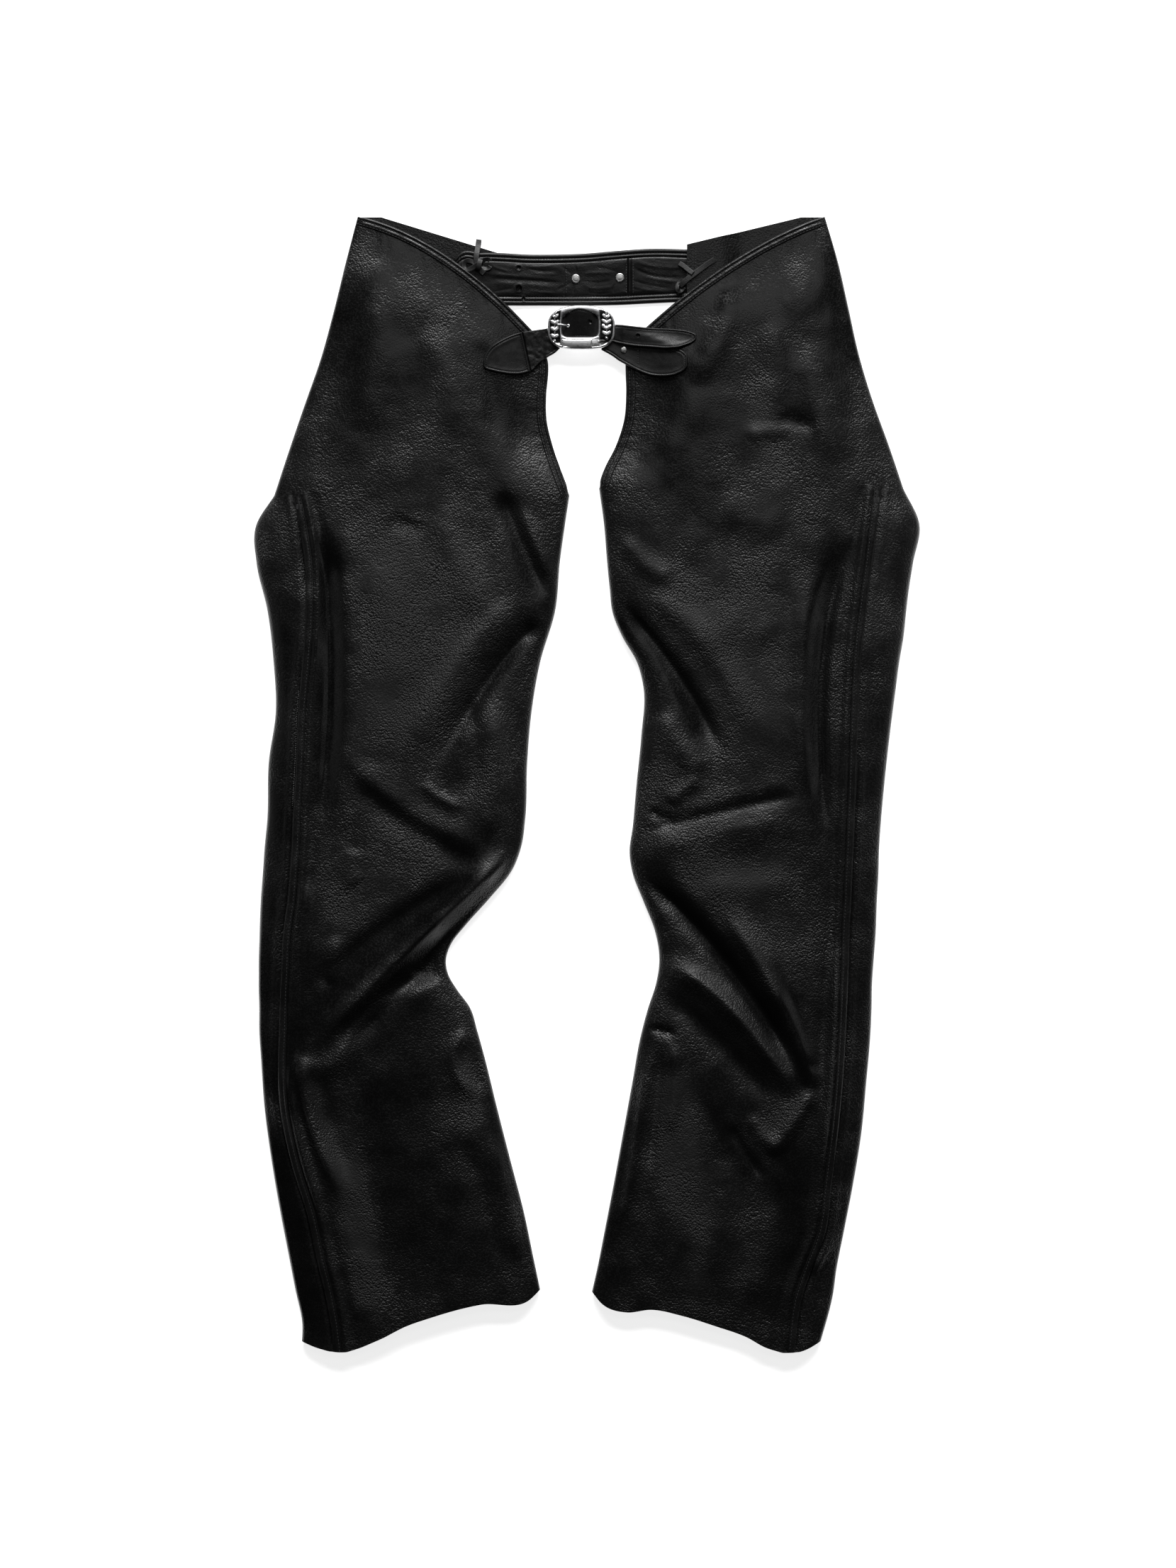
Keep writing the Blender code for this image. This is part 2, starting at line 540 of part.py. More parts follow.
def wall_mesh(name, outside, inside, quads):
    """A closed wall between two sets of points on the same grid, with rim faces along every open edge."""
    corners = sorted({corner for quad in quads for corner in quad})
    number = {corner: k for k, corner in enumerate(corners)}
    count = len(corners)
    points = [outside[corner] * MM for corner in corners] + [inside[corner] * MM for corner in corners]
    faces = []
    edges = {}
    for quad in quads:
        ids = [number[corner] for corner in quad]
        faces.append(tuple(ids))
        faces.append(tuple(i + count for i in reversed(ids)))
        for a, b in zip(ids, ids[1:] + ids[:1]):
            edges[(a, b)] = edges.get((a, b), 0) + 1
    for a, b in edges:
        if (b, a) not in edges:
            faces.append((b, a, a + count, b + count))
    mesh = bpy.data.meshes.new(name)
    mesh.from_pydata([tuple(p) for p in points], [], faces)
    mesh.validate()
    return mesh


def add_piece(name, mesh, material, smooth_shade=True):
    """One named object for a mesh, triangulated so that what is seen is what is built."""
    work = bmesh.new()
    work.from_mesh(mesh)
    bmesh.ops.triangulate(work, faces=work.faces[:])
    bmesh.ops.recalc_face_normals(work, faces=work.faces[:])
    work.to_mesh(mesh)
    work.free()
    if smooth_shade:
        mesh.shade_smooth()
        mesh.set_sharp_from_angle(angle=math.radians(50))
    piece = bpy.data.objects.new(name, mesh)
    piece.data.materials.append(material)
    bpy.context.collection.objects.link(piece)
    return piece


def build_leg(leg, materials):
    """Front and back panels, edge band and zip strip of one leg."""
    grid, columns, last_hip = tube_grid(leg)
    rows = len(grid)
    hip_rows = list(range(last_hip + 1))
    leg_rows = list(range(last_hip + 1, rows))
    seam_rows = [last_hip, last_hip + 1]
    inner, front_zip = columns["inner"], columns["front_zip"]
    outer, wrap_end, end = columns["outer"], columns["wrap_end"], columns["end"]
    top = list(range(inner, front_zip + 1))
    flank = [front_zip] + list(range(front_zip + 2, wrap_end + 1))
    floor = list(range(wrap_end + 1, end + 1))
    front = patch(hip_rows, top + flank[1:]) + patch(seam_rows, top)
    front += patch(leg_rows, list(range(0, inner)) + top)
    back = patch(hip_rows + [last_hip + 1], floor)
    back += patch(leg_rows, list(range(front_zip + 1, wrap_end)) + floor)
    if leg.side == "right":
        front = [quad[::-1] for quad in front]
        back = [quad[::-1] for quad in back]
    normals = grid_normals(grid, front + back)
    pairs = [((r, front_zip), (r, front_zip + 1)) for r in leg_rows]
    pairs += [((last_hip, c), (last_hip + 1, c)) for c in range(front_zip + 2, wrap_end + 1)]
    share_normals(normals, pairs)
    pieces = {}
    for name, quads in (("front_panel_", front), ("back_panel_", back)):
        mesh = wall_mesh(name + leg.side, grid, grid - normals * WALL, quads)
        pieces[name] = add_piece(name + leg.side, mesh, materials["panel"])
    raised = grid + normals * (LAY_GAP + BAND_WALL)
    under = grid + normals * LAY_GAP
    outside_top = [inner] + list(range(inner + 1, front_zip + 1)) + list(range(front_zip + 2, outer - 1))
    band = patch([0, 1], outside_top)
    band += patch(list(range(1, last_hip + 1)), [inner, inner + 1, inner + 2, inner + 3])
    strip = patch(leg_rows, [front_zip - 1, front_zip, front_zip + 2])
    if leg.side == "right":
        band = [quad[::-1] for quad in band]
        strip = [quad[::-1] for quad in strip]
    for name, quads in (("edge_band_", band), ("zip_strip_", strip)):
        mesh = wall_mesh(name + leg.side, raised, under, quads)
        pieces[name] = add_piece(name + leg.side, mesh, materials["band"])
    return pieces


def surface_tree(pieces):
    """Search tree of the pieces' faces, in millimetres."""
    points = []
    faces = []
    for piece in pieces:
        base = len(points)
        points += [tuple(np.array(v.co) / MM) for v in piece.data.vertices]
        faces += [tuple(base + i for i in p.vertices) for p in piece.data.polygons]
    return BVHTree.FromPolygons(points, faces)


def support(tree, x, y, ceiling, reach=2.5):
    """Height of the highest face under a place and its close neighbours, below a ceiling."""
    best = 0.0
    for dx, dy in ((0, 0), (reach, 0), (-reach, 0), (0, reach), (0, -reach)):
        hit = tree.ray_cast(Vector((x + dx, y + dy, ceiling)), Vector((0, 0, -1)))
        if hit[0] is not None:
            best = max(best, hit[0].z)
    return best


def blur_rows(heights, times):
    """Smooth heights along the first axis, and never sink any."""
    for _ in range(times):
        padded = np.concatenate([heights[:1], heights, heights[-1:]])
        mean = (padded[:-2] + padded[1:-1] + padded[2:]) / 3
        heights = np.maximum(heights, mean)
    return heights


def strap_grid(x, lower, upper, across, lean=0.0):
    """Places of a strap's points: sections at x from a lower to an upper edge. The first ones may lean."""
    y = lower[:, None] + (upper - lower)[:, None] * across
    leaning = lean * (0.5 - across) * ease(1 - (x[:, None] - x[0]) / 14.0)
    return x[:, None] + leaning, y


def draped(tree, x, y, ceiling, gap, reach=2.5):
    """Underside heights of a strap laid on what is below it, and none where nothing is."""
    heights = np.zeros(x.shape)
    for place in np.ndindex(x.shape):
        below = support(tree, x[place], y[place], ceiling, reach)
        heights[place] = below + gap if below > 0 else 0.0
    return heights


def laid_strap(tree, x, y):
    """Underside heights of a stiff strap on the fronts: past their edge it goes on at the height it had."""
    heights = draped(tree, x, y, CEILING, 2 * LAY_GAP)
    while (heights == 0).any():
        padded = np.pad(heights, 1)
        near = np.maximum.reduce([padded[:-2, 1:-1], padded[2:, 1:-1], padded[1:-1, :-2], padded[1:-1, 2:]])
        heights = np.where(heights == 0, near, heights)
    return blur_rows(blur_rows(heights, 2).T, 2).T


def strap_wall(name, x, y, underside, thick, skip=()):
    """A strap as a wall of level thickness over its underside. Cells in skip are left open as holes."""
    grid = np.stack([x, y, underside], axis=-1)
    rows, columns = x.shape
    quads = [quad[::-1] for quad in patch(range(rows), range(columns)) if quad[0] not in skip]
    return wall_mesh(name, grid + np.array([0.0, 0.0, thick]), grid, quads)


def build_rear_belt(materials, below):
    """The rear belt, laid over the left hip and on the table."""
    x_table, low_table, high_table = np.array(BELT_SECTIONS).T
    x = np.linspace(x_table[0], x_table[-1], BELT_STEPS)
    lower = smooth(x_table, low_table, x)
    upper = smooth(x_table, high_table, x)
    x, y = strap_grid(x, lower, upper, np.linspace(0.0, 1.0, BELT_ROWS))
    heights = blur_rows(draped(below, x, y, BELT_CEILING, LAY_GAP, BELT_REACH), 3)
    mesh = strap_wall("rear_belt", x, y, heights, BELT_WALL)
    return add_piece("rear_belt", mesh, materials["belt"])


def turned(name, place, profile, segments, material):
    """A solid of revolution about the vertical through a place: profile rows are radius and height, from
    the bottom centre to the top centre."""
    angle = np.arange(segments) * 2 * math.pi / segments
    points = [(place[0], place[1], place[2] + profile[0][1])]
    for radius, height in profile[1:-1]:
        for a in angle:
            ring_x = place[0] + radius * math.cos(a)
            ring_y = place[1] + radius * math.sin(a)
            points.append((ring_x, ring_y, place[2] + height))
    points.append((place[0], place[1], place[2] + profile[-1][1]))
    faces = []
    for k in range(segments):
        after = (k + 1) % segments
        faces.append((0, 1 + after, 1 + k))
        for ring in range(len(profile) - 3):
            base = 1 + ring * segments
            faces.append((base + k, base + after, base + segments + after, base + segments + k))
        top = 1 + (len(profile) - 3) * segments
        faces.append((len(points) - 1, top + k, top + after))
    mesh = bpy.data.meshes.new(name)
    mesh.from_pydata([tuple(np.array(p) * MM) for p in points], [], faces)
    return add_piece(name, mesh, material)


def build_head(name, place, radius, material, below):
    """A domed rivet or screw head on what is below it."""
    x, y = place
    z = support(below, x, y, CEILING, radius) + LAY_GAP
    rings = [(radius * share, height) for share, height in HEAD_PROFILE]
    profile = [(0.0, 0.0)] + rings + [(0.0, HEAD_HEIGHT)]
    turned(name, (x, y, z), profile, HEAD_SEGMENTS, material)


def build_front_tab_left(materials, below):
    """The leaf-shaped tab on the left front corner."""
    x_table, low_table, high_table = np.array(TAB_LEFT).T
    x = np.linspace(x_table[0], x_table[-1], 13)
    lower = smooth(x_table, low_table, x)
    upper = smooth(x_table, high_table, x)
    across = np.linspace(0.0, 1.0, 6)
    y = lower[:, None] + (upper - lower)[:, None] * across
    lean = (x - x[0]) / (x[-1] - x[0])
    leaning_x = x[:, None] + TAB_SLANT * lean[:, None] * (0.5 - across)
    heights = laid_strap(below, leaning_x, y)
    mesh = strap_wall("front_tab_left", leaning_x, y, heights, STRAP_WALL)
    return add_piece("front_tab_left", mesh, materials["strap"])


def loop_path():
    """Middle line of the right tab's loop round the bar: x and z of its outer face, from under the bar."""
    radius = LOOP_RADIUS + STRAP_WALL
    path = [(BAR_X + 14.0, BAR_Z - radius), (BAR_X + 7.0, BAR_Z - radius)]
    for k in range(7):
        angle = -math.pi / 2 - math.pi * k / 6
        path.append((BAR_X + radius * math.cos(angle), BAR_Z + radius * math.sin(angle)))
    return path


def build_front_tab_right(materials, below):
    """The leaf-shaped tab on the right front corner, with its end folded round the buckle's bar."""
    x_table, low_table, high_table = np.array(TAB_RIGHT).T
    x = np.linspace(x_table[0], x_table[-1], 15)
    lower = smooth(x_table, low_table, x)
    upper = smooth(x_table, high_table, x)
    across = np.array(STRAP_ACROSS)
    leaf_x, leaf_y = strap_grid(x, lower, upper, across)
    heights = laid_strap(below, leaf_x, leaf_y)
    loop = loop_path()
    loop_top = BAR_Z + LOOP_RADIUS
    join = ease((x - x[0]) / 14.0)[:, None]
    heights = np.maximum(heights * join + loop_top * (1 - join), loop_top)
    leaf = np.stack([leaf_x, leaf_y, heights], axis=-1)
    loop_y = BAR_Y + (across - 0.5) * 2 * (BAR_HALF - 2.0)
    outer = []
    inner = []
    middle = np.array([BAR_X, BAR_Z])
    for k, (px, pz) in enumerate(loop):
        away = np.array([px, pz]) - middle
        if k < 2:
            away = np.array([0.0, -1.0]) * (LOOP_RADIUS + STRAP_WALL)
        inward = np.array([px, pz]) - away / np.linalg.norm(away) * STRAP_WALL
        level = np.ones(len(across))
        outer.append(np.stack([level * px, loop_y, level * pz], axis=-1))
        inner.append(np.stack([level * inward[0], loop_y, level * inward[1]], axis=-1))
    outside = np.concatenate([np.array(outer), leaf + np.array([0, 0, STRAP_WALL])])
    inside = np.concatenate([np.array(inner), leaf])
    slot = {(row, 2) for row in range(*LOOP_SLOT)}
    quads = [quad[::-1] for quad in patch(range(len(outside)), range(len(across))) if quad[0] not in slot]
    mesh = wall_mesh("front_tab_right", outside, inside, quads)
    return add_piece("front_tab_right", mesh, materials["strap"])


def build_tip_strap(materials, below):
    """The strap with holes: from the left tab, under the frame's left side, up through its window, under
    its right side and out to the tip."""
    table = np.array(STRAP_SECTIONS).T
    x = np.linspace(table[0][0], table[0][-1], STRAP_STEPS)
    holes = []
    for middle, length in STRAP_HOLES:
        start = int(np.abs(x - (middle - length / 2)).argmin())
        x[start] = middle - length / 2
        x[start + 1] = middle + length / 2
        holes.append((start, 2))
    lower = smooth(table[0], table[1], x)
    upper = smooth(table[0], table[2], x)
    grid_x, grid_y = strap_grid(x, lower, upper, np.array(STRAP_ACROSS), TAB_SLANT)
    laid = laid_strap(below, grid_x, grid_y)
    held = smooth(table[0], table[3], x)[:, None]
    free = ease((x - STRAP_FREE[0]) / 6.0) * ease((STRAP_FREE[1] - x) / 8.0)
    heights = laid * (1 - free[:, None]) + held * free[:, None]
    mesh = strap_wall("tip_strap", grid_x, grid_y, heights, STRAP_WALL, holes)
    return add_piece("tip_strap", mesh, materials["strap"])


def rounded(half, angle, power):
    """Point of a rounded rectangle's edge at an angle, as a superellipse."""
    c, s = math.cos(angle), math.sin(angle)
    x = half[0] * math.copysign(abs(c) ** (2 / power), c)
    y = half[1] * math.copysign(abs(s) ** (2 / power), s)
    return x, y


def build_buckle_frame(materials):
    """The frame: a flat-backed ring, domed on top, between a rounded outside and a rounded window."""
    points = []
    for k in range(FRAME_SEGMENTS):
        angle = 2 * math.pi * k / FRAME_SEGMENTS
        ox, oy = rounded(FRAME_HALF, angle, FRAME_POWER)
        ix, iy = rounded(WINDOW_HALF, angle, WINDOW_POWER)
        ox, oy = ox + FRAME_CENTRE[0], oy + FRAME_CENTRE[1]
        ix, iy = ix + WINDOW_CENTRE[0], iy + WINDOW_CENTRE[1]
        for t, h in FRAME_PROFILE:
            points.append((ox + (ix - ox) * t, oy + (iy - oy) * t, FRAME_BOTTOM + FRAME_THICK * h))
    rings = len(FRAME_PROFILE)
    faces = []
    for k in range(FRAME_SEGMENTS):
        after = (k + 1) % FRAME_SEGMENTS
        for j in range(rings):
            j2 = (j + 1) % rings
            faces.append((k * rings + j, after * rings + j, after * rings + j2, k * rings + j2))
    mesh = bpy.data.meshes.new("buckle_frame")
    mesh.from_pydata([tuple(np.array(p) * MM) for p in points], [], faces)
    add_piece("buckle_frame", mesh, materials["chrome"])


def rod(name, route, radius, material, resolution=2):
    """A round rod or thong along a route, as a curve with filled caps."""
    curve = bpy.data.curves.new(name, "CURVE")
    curve.dimensions = "3D"
    spline = curve.splines.new("POLY")
    spline.points.add(len(route) - 1)
    for point, place in zip(spline.points, route):
        point.co = (*(np.array(place) * MM), 1.0)
    curve.bevel_depth = radius * MM
    curve.bevel_resolution = resolution
    curve.use_fill_caps = True
    piece = bpy.data.objects.new(name, curve)
    piece.data.materials.append(material)
    bpy.context.collection.objects.link(piece)
    return piece


def build_buckle_bar_and_prong(materials):
    """The bar across the frame's right side and the prong from it to the frame's left side."""
    ends = [(BAR_X, BAR_Y - BAR_HALF, BAR_Z), (BAR_X, BAR_Y + BAR_HALF, BAR_Z)]
    rod("buckle_bar", ends, BAR_RADIUS, materials["chrome"], 4)
    rod("buckle_prong", PRONG_ROUTE, PRONG_RADIUS, materials["chrome"], 2)


def through(points, count):
    """Evenly spaced places on a smooth curve through a few points."""
    points = np.array(points, float)
    length = np.concatenate([[0], np.cumsum(np.linalg.norm(np.diff(points[:, :2], axis=0), axis=1))])
    at = np.linspace(0, length[-1], count)
    return np.stack([smooth(length, points[:, axis], at) for axis in range(points.shape[1])], axis=-1)


def build_lace(side, points, knot, materials, below):
    """The free end of a thong, laid on the belt and what is beside it, and its knot."""
    route = through(points, LACE_STEPS)
    heights = np.array([[support(below, x, y, CEILING, LACE_RADIUS)] for x, y in route])
    heights = blur_rows(heights, 4)[:, 0]
    places = [(x, y, height + LAY_GAP + LACE_RADIUS) for (x, y), height in zip(route, heights)]
    rod("lace_" + side, places, LACE_RADIUS, materials["lace"])
    x, y, half_x, half_y, half_z = knot
    z = support(below, x, y, CEILING, half_y) + LAY_GAP
    profile = [(math.sin(math.pi * k / 6), half_z * (1 - math.cos(math.pi * k / 6))) for k in range(7)]
    bead = turned("lace_knot_" + side, (0.0, 0.0, z), profile, 12, materials["lace"])
    for vertex in bead.data.vertices:
        vertex.co.x = vertex.co.x * half_x + x * MM
        vertex.co.y = vertex.co.y * half_y + y * MM


def main():
    """Build every piece of the chaps."""
    clear_scene()
    materials = {
        "panel": leather("panel_leather", 0.018, 0.42),
        "band": leather("band_leather", 0.016, 0.38),
        "belt": leather("belt_leather", 0.016, 0.4),
        "strap": leather("strap_leather", 0.012, 0.32),
        "lace": leather("lace_leather", 0.014, 0.5),
        "steel": plain_material("rivet_steel", (0.75, 0.75, 0.74), 0.3, 1.0),
        "chrome": plain_material("buckle_metal", (0.8, 0.8, 0.8), 0.15, 1.0),
    }
    legs = [build_leg(leg, materials) for leg in (LEFT, RIGHT)]
    belt = build_rear_belt(materials, surface_tree([legs[0]["back_panel_"]]))
    for number, place in enumerate(RIVETS, 1):
        build_head("rivet_%d" % number, place, RIVET_RADIUS, materials["steel"], surface_tree([belt]))
    fronts = surface_tree([leg[name] for leg in legs for name in ("front_panel_", "edge_band_")])
    build_front_tab_left(materials, fronts)
    tab = build_front_tab_right(materials, fronts)
    build_head("tab_screw", SCREW, SCREW_RADIUS, materials["steel"], surface_tree([tab]))
    over = surface_tree([tab] + [leg[name] for leg in legs for name in ("front_panel_", "edge_band_")])
    build_tip_strap(materials, over)
    build_buckle_frame(materials)
    build_buckle_bar_and_prong(materials)
    hips = surface_tree([belt] + [leg["back_panel_"] for leg in legs])
    build_lace("left", LACE_LEFT, KNOT_LEFT, materials, hips)
    build_lace("right", LACE_RIGHT, KNOT_RIGHT, materials, hips)
    to_middle = Matrix.Translation(-Vector(MIDDLE) * MM)
    for piece in bpy.data.objects:
        piece.data.transform(to_middle)


main()
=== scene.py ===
"""Looks of black leather chaps laid out flat on a pale table, front side up.

Every piece is a surface worked out with numpy on a grid of two parameters or a profile carried along a path.
Tables are in millimetres in the maker's frame: x to the right, y towards the waist, z up from the table. The
same tables give the solids their shape, and the cloth here adds its finer folds, sewing and finish.
"""
import math
from collections import namedtuple

import bpy
import numpy as np
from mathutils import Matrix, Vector
from mathutils.bvhtree import BVHTree

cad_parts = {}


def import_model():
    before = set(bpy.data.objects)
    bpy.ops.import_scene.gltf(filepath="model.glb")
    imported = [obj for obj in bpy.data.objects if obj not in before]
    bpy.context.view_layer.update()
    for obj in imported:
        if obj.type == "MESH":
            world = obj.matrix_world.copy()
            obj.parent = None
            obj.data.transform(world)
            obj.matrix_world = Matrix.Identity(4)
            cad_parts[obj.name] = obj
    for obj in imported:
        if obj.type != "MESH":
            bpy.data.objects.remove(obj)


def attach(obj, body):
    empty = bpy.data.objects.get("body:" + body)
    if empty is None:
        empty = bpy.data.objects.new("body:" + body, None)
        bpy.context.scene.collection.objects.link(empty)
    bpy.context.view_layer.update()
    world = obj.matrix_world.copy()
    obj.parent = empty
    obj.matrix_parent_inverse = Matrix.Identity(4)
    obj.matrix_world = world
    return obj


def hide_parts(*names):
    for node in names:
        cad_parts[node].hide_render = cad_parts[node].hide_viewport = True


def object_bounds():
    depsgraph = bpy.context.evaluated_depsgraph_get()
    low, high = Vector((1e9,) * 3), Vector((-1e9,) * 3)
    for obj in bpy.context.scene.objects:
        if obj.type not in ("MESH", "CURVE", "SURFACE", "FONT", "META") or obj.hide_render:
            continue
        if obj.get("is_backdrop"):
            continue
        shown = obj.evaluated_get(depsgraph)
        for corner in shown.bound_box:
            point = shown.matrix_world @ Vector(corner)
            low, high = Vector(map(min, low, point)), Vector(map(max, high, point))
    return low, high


MM = 0.001
MIDDLE = np.array([-1.05, -0.25, 0.0])   # middle of the bounding box in the tables' frame

# leather and the flattened tube of a leg, as in the solids
WALL = 1.5
BELT_WALL = 3.0
STRAP_WALL = 1.8
LAY_GAP = 0.3
FOLD_RADIUS = 4.0
WRAP = 18.0
RISE = 55.0
RISE_POWER = 2.2
WAIST_HEIGHT = 7.8
CORNER_HEIGHT = 4.8
FREE_EDGE_HEIGHT = 4.0
FREE_RISE = 70.0
WAIST_RISE = 60.0
HEM_BEND = 0.72
HIP_LOFT = 13.0
CROTCH_LOFT = 15.0
HIP_LENGTH_INNER = 140.0
HIP_LENGTH_OUTER = 260.0
FOLD_MARGIN = 16.0
WAIST_MARGIN = 30.0

# grid of a leg
HIP_ROWS = 84
LEG_ROWS = 270
TOP_COLUMNS = 104
FLANK_COLUMNS = 20
ARC_COLUMNS = 6
WRAP_COLUMNS = 3
FLOOR_COLUMNS = 22

Leg = namedtuple("Leg", "side hip sections hem folds sheen")

# columns: inner_x, inner_y, outer_x, outer_y, bow, seat_x, seat_y
HIP_LEFT = (
    (-39.5, 410.5, -216.5, 533.0, 20.0, -85.0, 499.5),
    (-38.0, 388.0, -228.0, 489.0, 12.0, -89.0, 452.0),
    (-40.0, 365.0, -239.0, 444.5, 6.0, -112.5, 409.5),
    (-39.5, 341.5, -251.0, 400.5, 2.5, -122.5, 369.5),
    (-34.0, 318.0, -266.5, 356.0, 1.0, -112.5, 331.0),
    (-26.5, 295.0, -281.5, 312.0, 0.0, -81.0, 296.5),
    (-17.5, 271.0, -295.0, 271.0, 0.0, -39.5, 271.0),
)
HIP_RIGHT = (
    (35.5, 410.5, 222.5, 533.0, 14.0, 93.0, 507.0),
    (36.0, 388.0, 235.0, 490.5, 9.0, 93.0, 465.0),
    (36.5, 365.0, 245.0, 446.5, 5.0, 96.0, 430.5),
    (34.5, 341.5, 254.5, 404.0, 2.0, 113.5, 377.5),
    (27.0, 318.0, 267.0, 362.0, 1.0, 114.5, 333.5),
    (16.0, 295.0, 282.5, 319.0, 0.0, 81.5, 297.5),
    (10.5, 277.5, 296.5, 277.5, 0.0, 32.5, 277.5),
)
# columns: y, inner_x, zip_x, outer_x, loft
SECTIONS_LEFT = (
    (271.0, -17.5, -272.5, -295.0, 15.0),
    (244.5, -21.5, -267.0, -311.5, 15.5),
    (208.0, -26.5, -261.5, -311.5, 16.0),
    (164.5, -30.5, -260.5, -301.5, 16.5),
    (114.5, -45.0, -263.5, -295.5, 17.0),
    (68.0, -53.0, -267.5, -293.5, 17.0),
    (21.5, -57.0, -269.5, -300.0, 17.0),
    (-33.5, -59.0, -272.5, -301.5, 17.0),
    (-60.0, -63.0, -273.5, -304.0, 17.0),
    (-82.0, -72.0, -275.0, -305.5, 17.0),
    (-108.0, -93.0, -277.0, -307.5, 16.5),
    (-132.0, -114.5, -280.5, -308.5, 16.5),
    (-150.0, -128.5, -282.5, -309.0, 16.0),
    (-165.5, -133.5, -283.0, -309.5, 15.5),
    (-178.5, -131.5, -283.5, -309.5, 15.0),
    (-194.0, -122.5, -284.5, -309.5, 15.0),
    (-209.0, -111.5, -285.0, -309.0, 15.0),
    (-232.0, -104.0, -285.5, -309.0, 15.0),
    (-255.5, -97.5, -286.5, -307.5, 15.0),
    (-304.0, -85.5, -284.5, -304.0, 15.0),
    (-353.0, -73.0, -274.5, -297.5, 14.5),
    (-405.5, -59.5, -258.5, -288.5, 14.0),
    (-444.0, -51.5, -250.5, -281.0, 13.5),
    (-475.0, -45.0, -243.0, -275.0, 13.0),
    (-507.0, -39.0, -237.0, -268.5, 13.0),
    (-533.0, -34.0, -234.0, -269.5, 13.0),
)
SECTIONS_RIGHT = (
    (277.5, 10.5, 271.5, 296.5, 15.0),
    (244.5, 15.0, 267.0, 311.5, 15.5),
    (208.0, 18.0, 262.5, 305.5, 16.0),
    (182.5, 20.5, 259.0, 301.5, 16.5),
    (161.5, 23.0, 256.5, 299.0, 16.5),
    (138.0, 32.5, 253.5, 296.5, 17.0),
    (114.5, 46.0, 251.5, 292.5, 17.0),
    (91.5, 52.0, 250.5, 289.5, 17.0),
    (45.0, 50.0, 248.5, 283.5, 17.0),
    (-0.5, 45.5, 247.0, 278.5, 17.0),
    (-40.0, 42.0, 245.5, 275.0, 17.0),
    (-64.0, 39.0, 244.5, 273.5, 16.5),
    (-84.0, 42.0, 243.5, 273.0, 16.5),
    (-110.0, 52.0, 242.5, 271.5, 16.5),
    (-138.5, 63.0, 241.0, 270.5, 16.0),
    (-165.5, 67.0, 240.5, 268.5, 16.0),
    (-187.0, 64.0, 239.5, 267.0, 16.0),
    (-212.0, 56.0, 238.5, 266.5, 16.0),
    (-234.5, 50.0, 237.5, 265.5, 15.5),
    (-281.0, 41.5, 234.5, 261.5, 15.5),
    (-327.5, 33.0, 230.0, 257.0, 15.0),
    (-374.0, 24.5, 224.5, 249.5, 14.5),
    (-420.5, 15.5, 218.5, 240.5, 14.0),
    (-456.0, 8.5, 205.0, 233.5, 13.5),
    (-478.0, 3.5, 197.5, 230.5, 13.0),
    (-533.0, -8.0, 190.0, 216.0, 13.0),
)
# columns: share of the width, y
HEM_LEFT = (
    (0.0, -475.0), (0.05, -484.0), (0.25, -488.0), (0.47, -500.5), (0.58, -509.0),
    (0.69, -521.5), (0.84, -533.0), (0.93, -529.5), (1.0, -523.5),
)
HEM_RIGHT = (
    (0.0, -477.0), (0.05, -487.5), (0.16, -495.5), (0.26, -493.0), (0.39, -498.5), (0.55, -509.0),
    (0.68, -518.5), (0.78, -529.0), (0.87, -533.5), (0.95, -530.5), (1.0, -523.5),
)

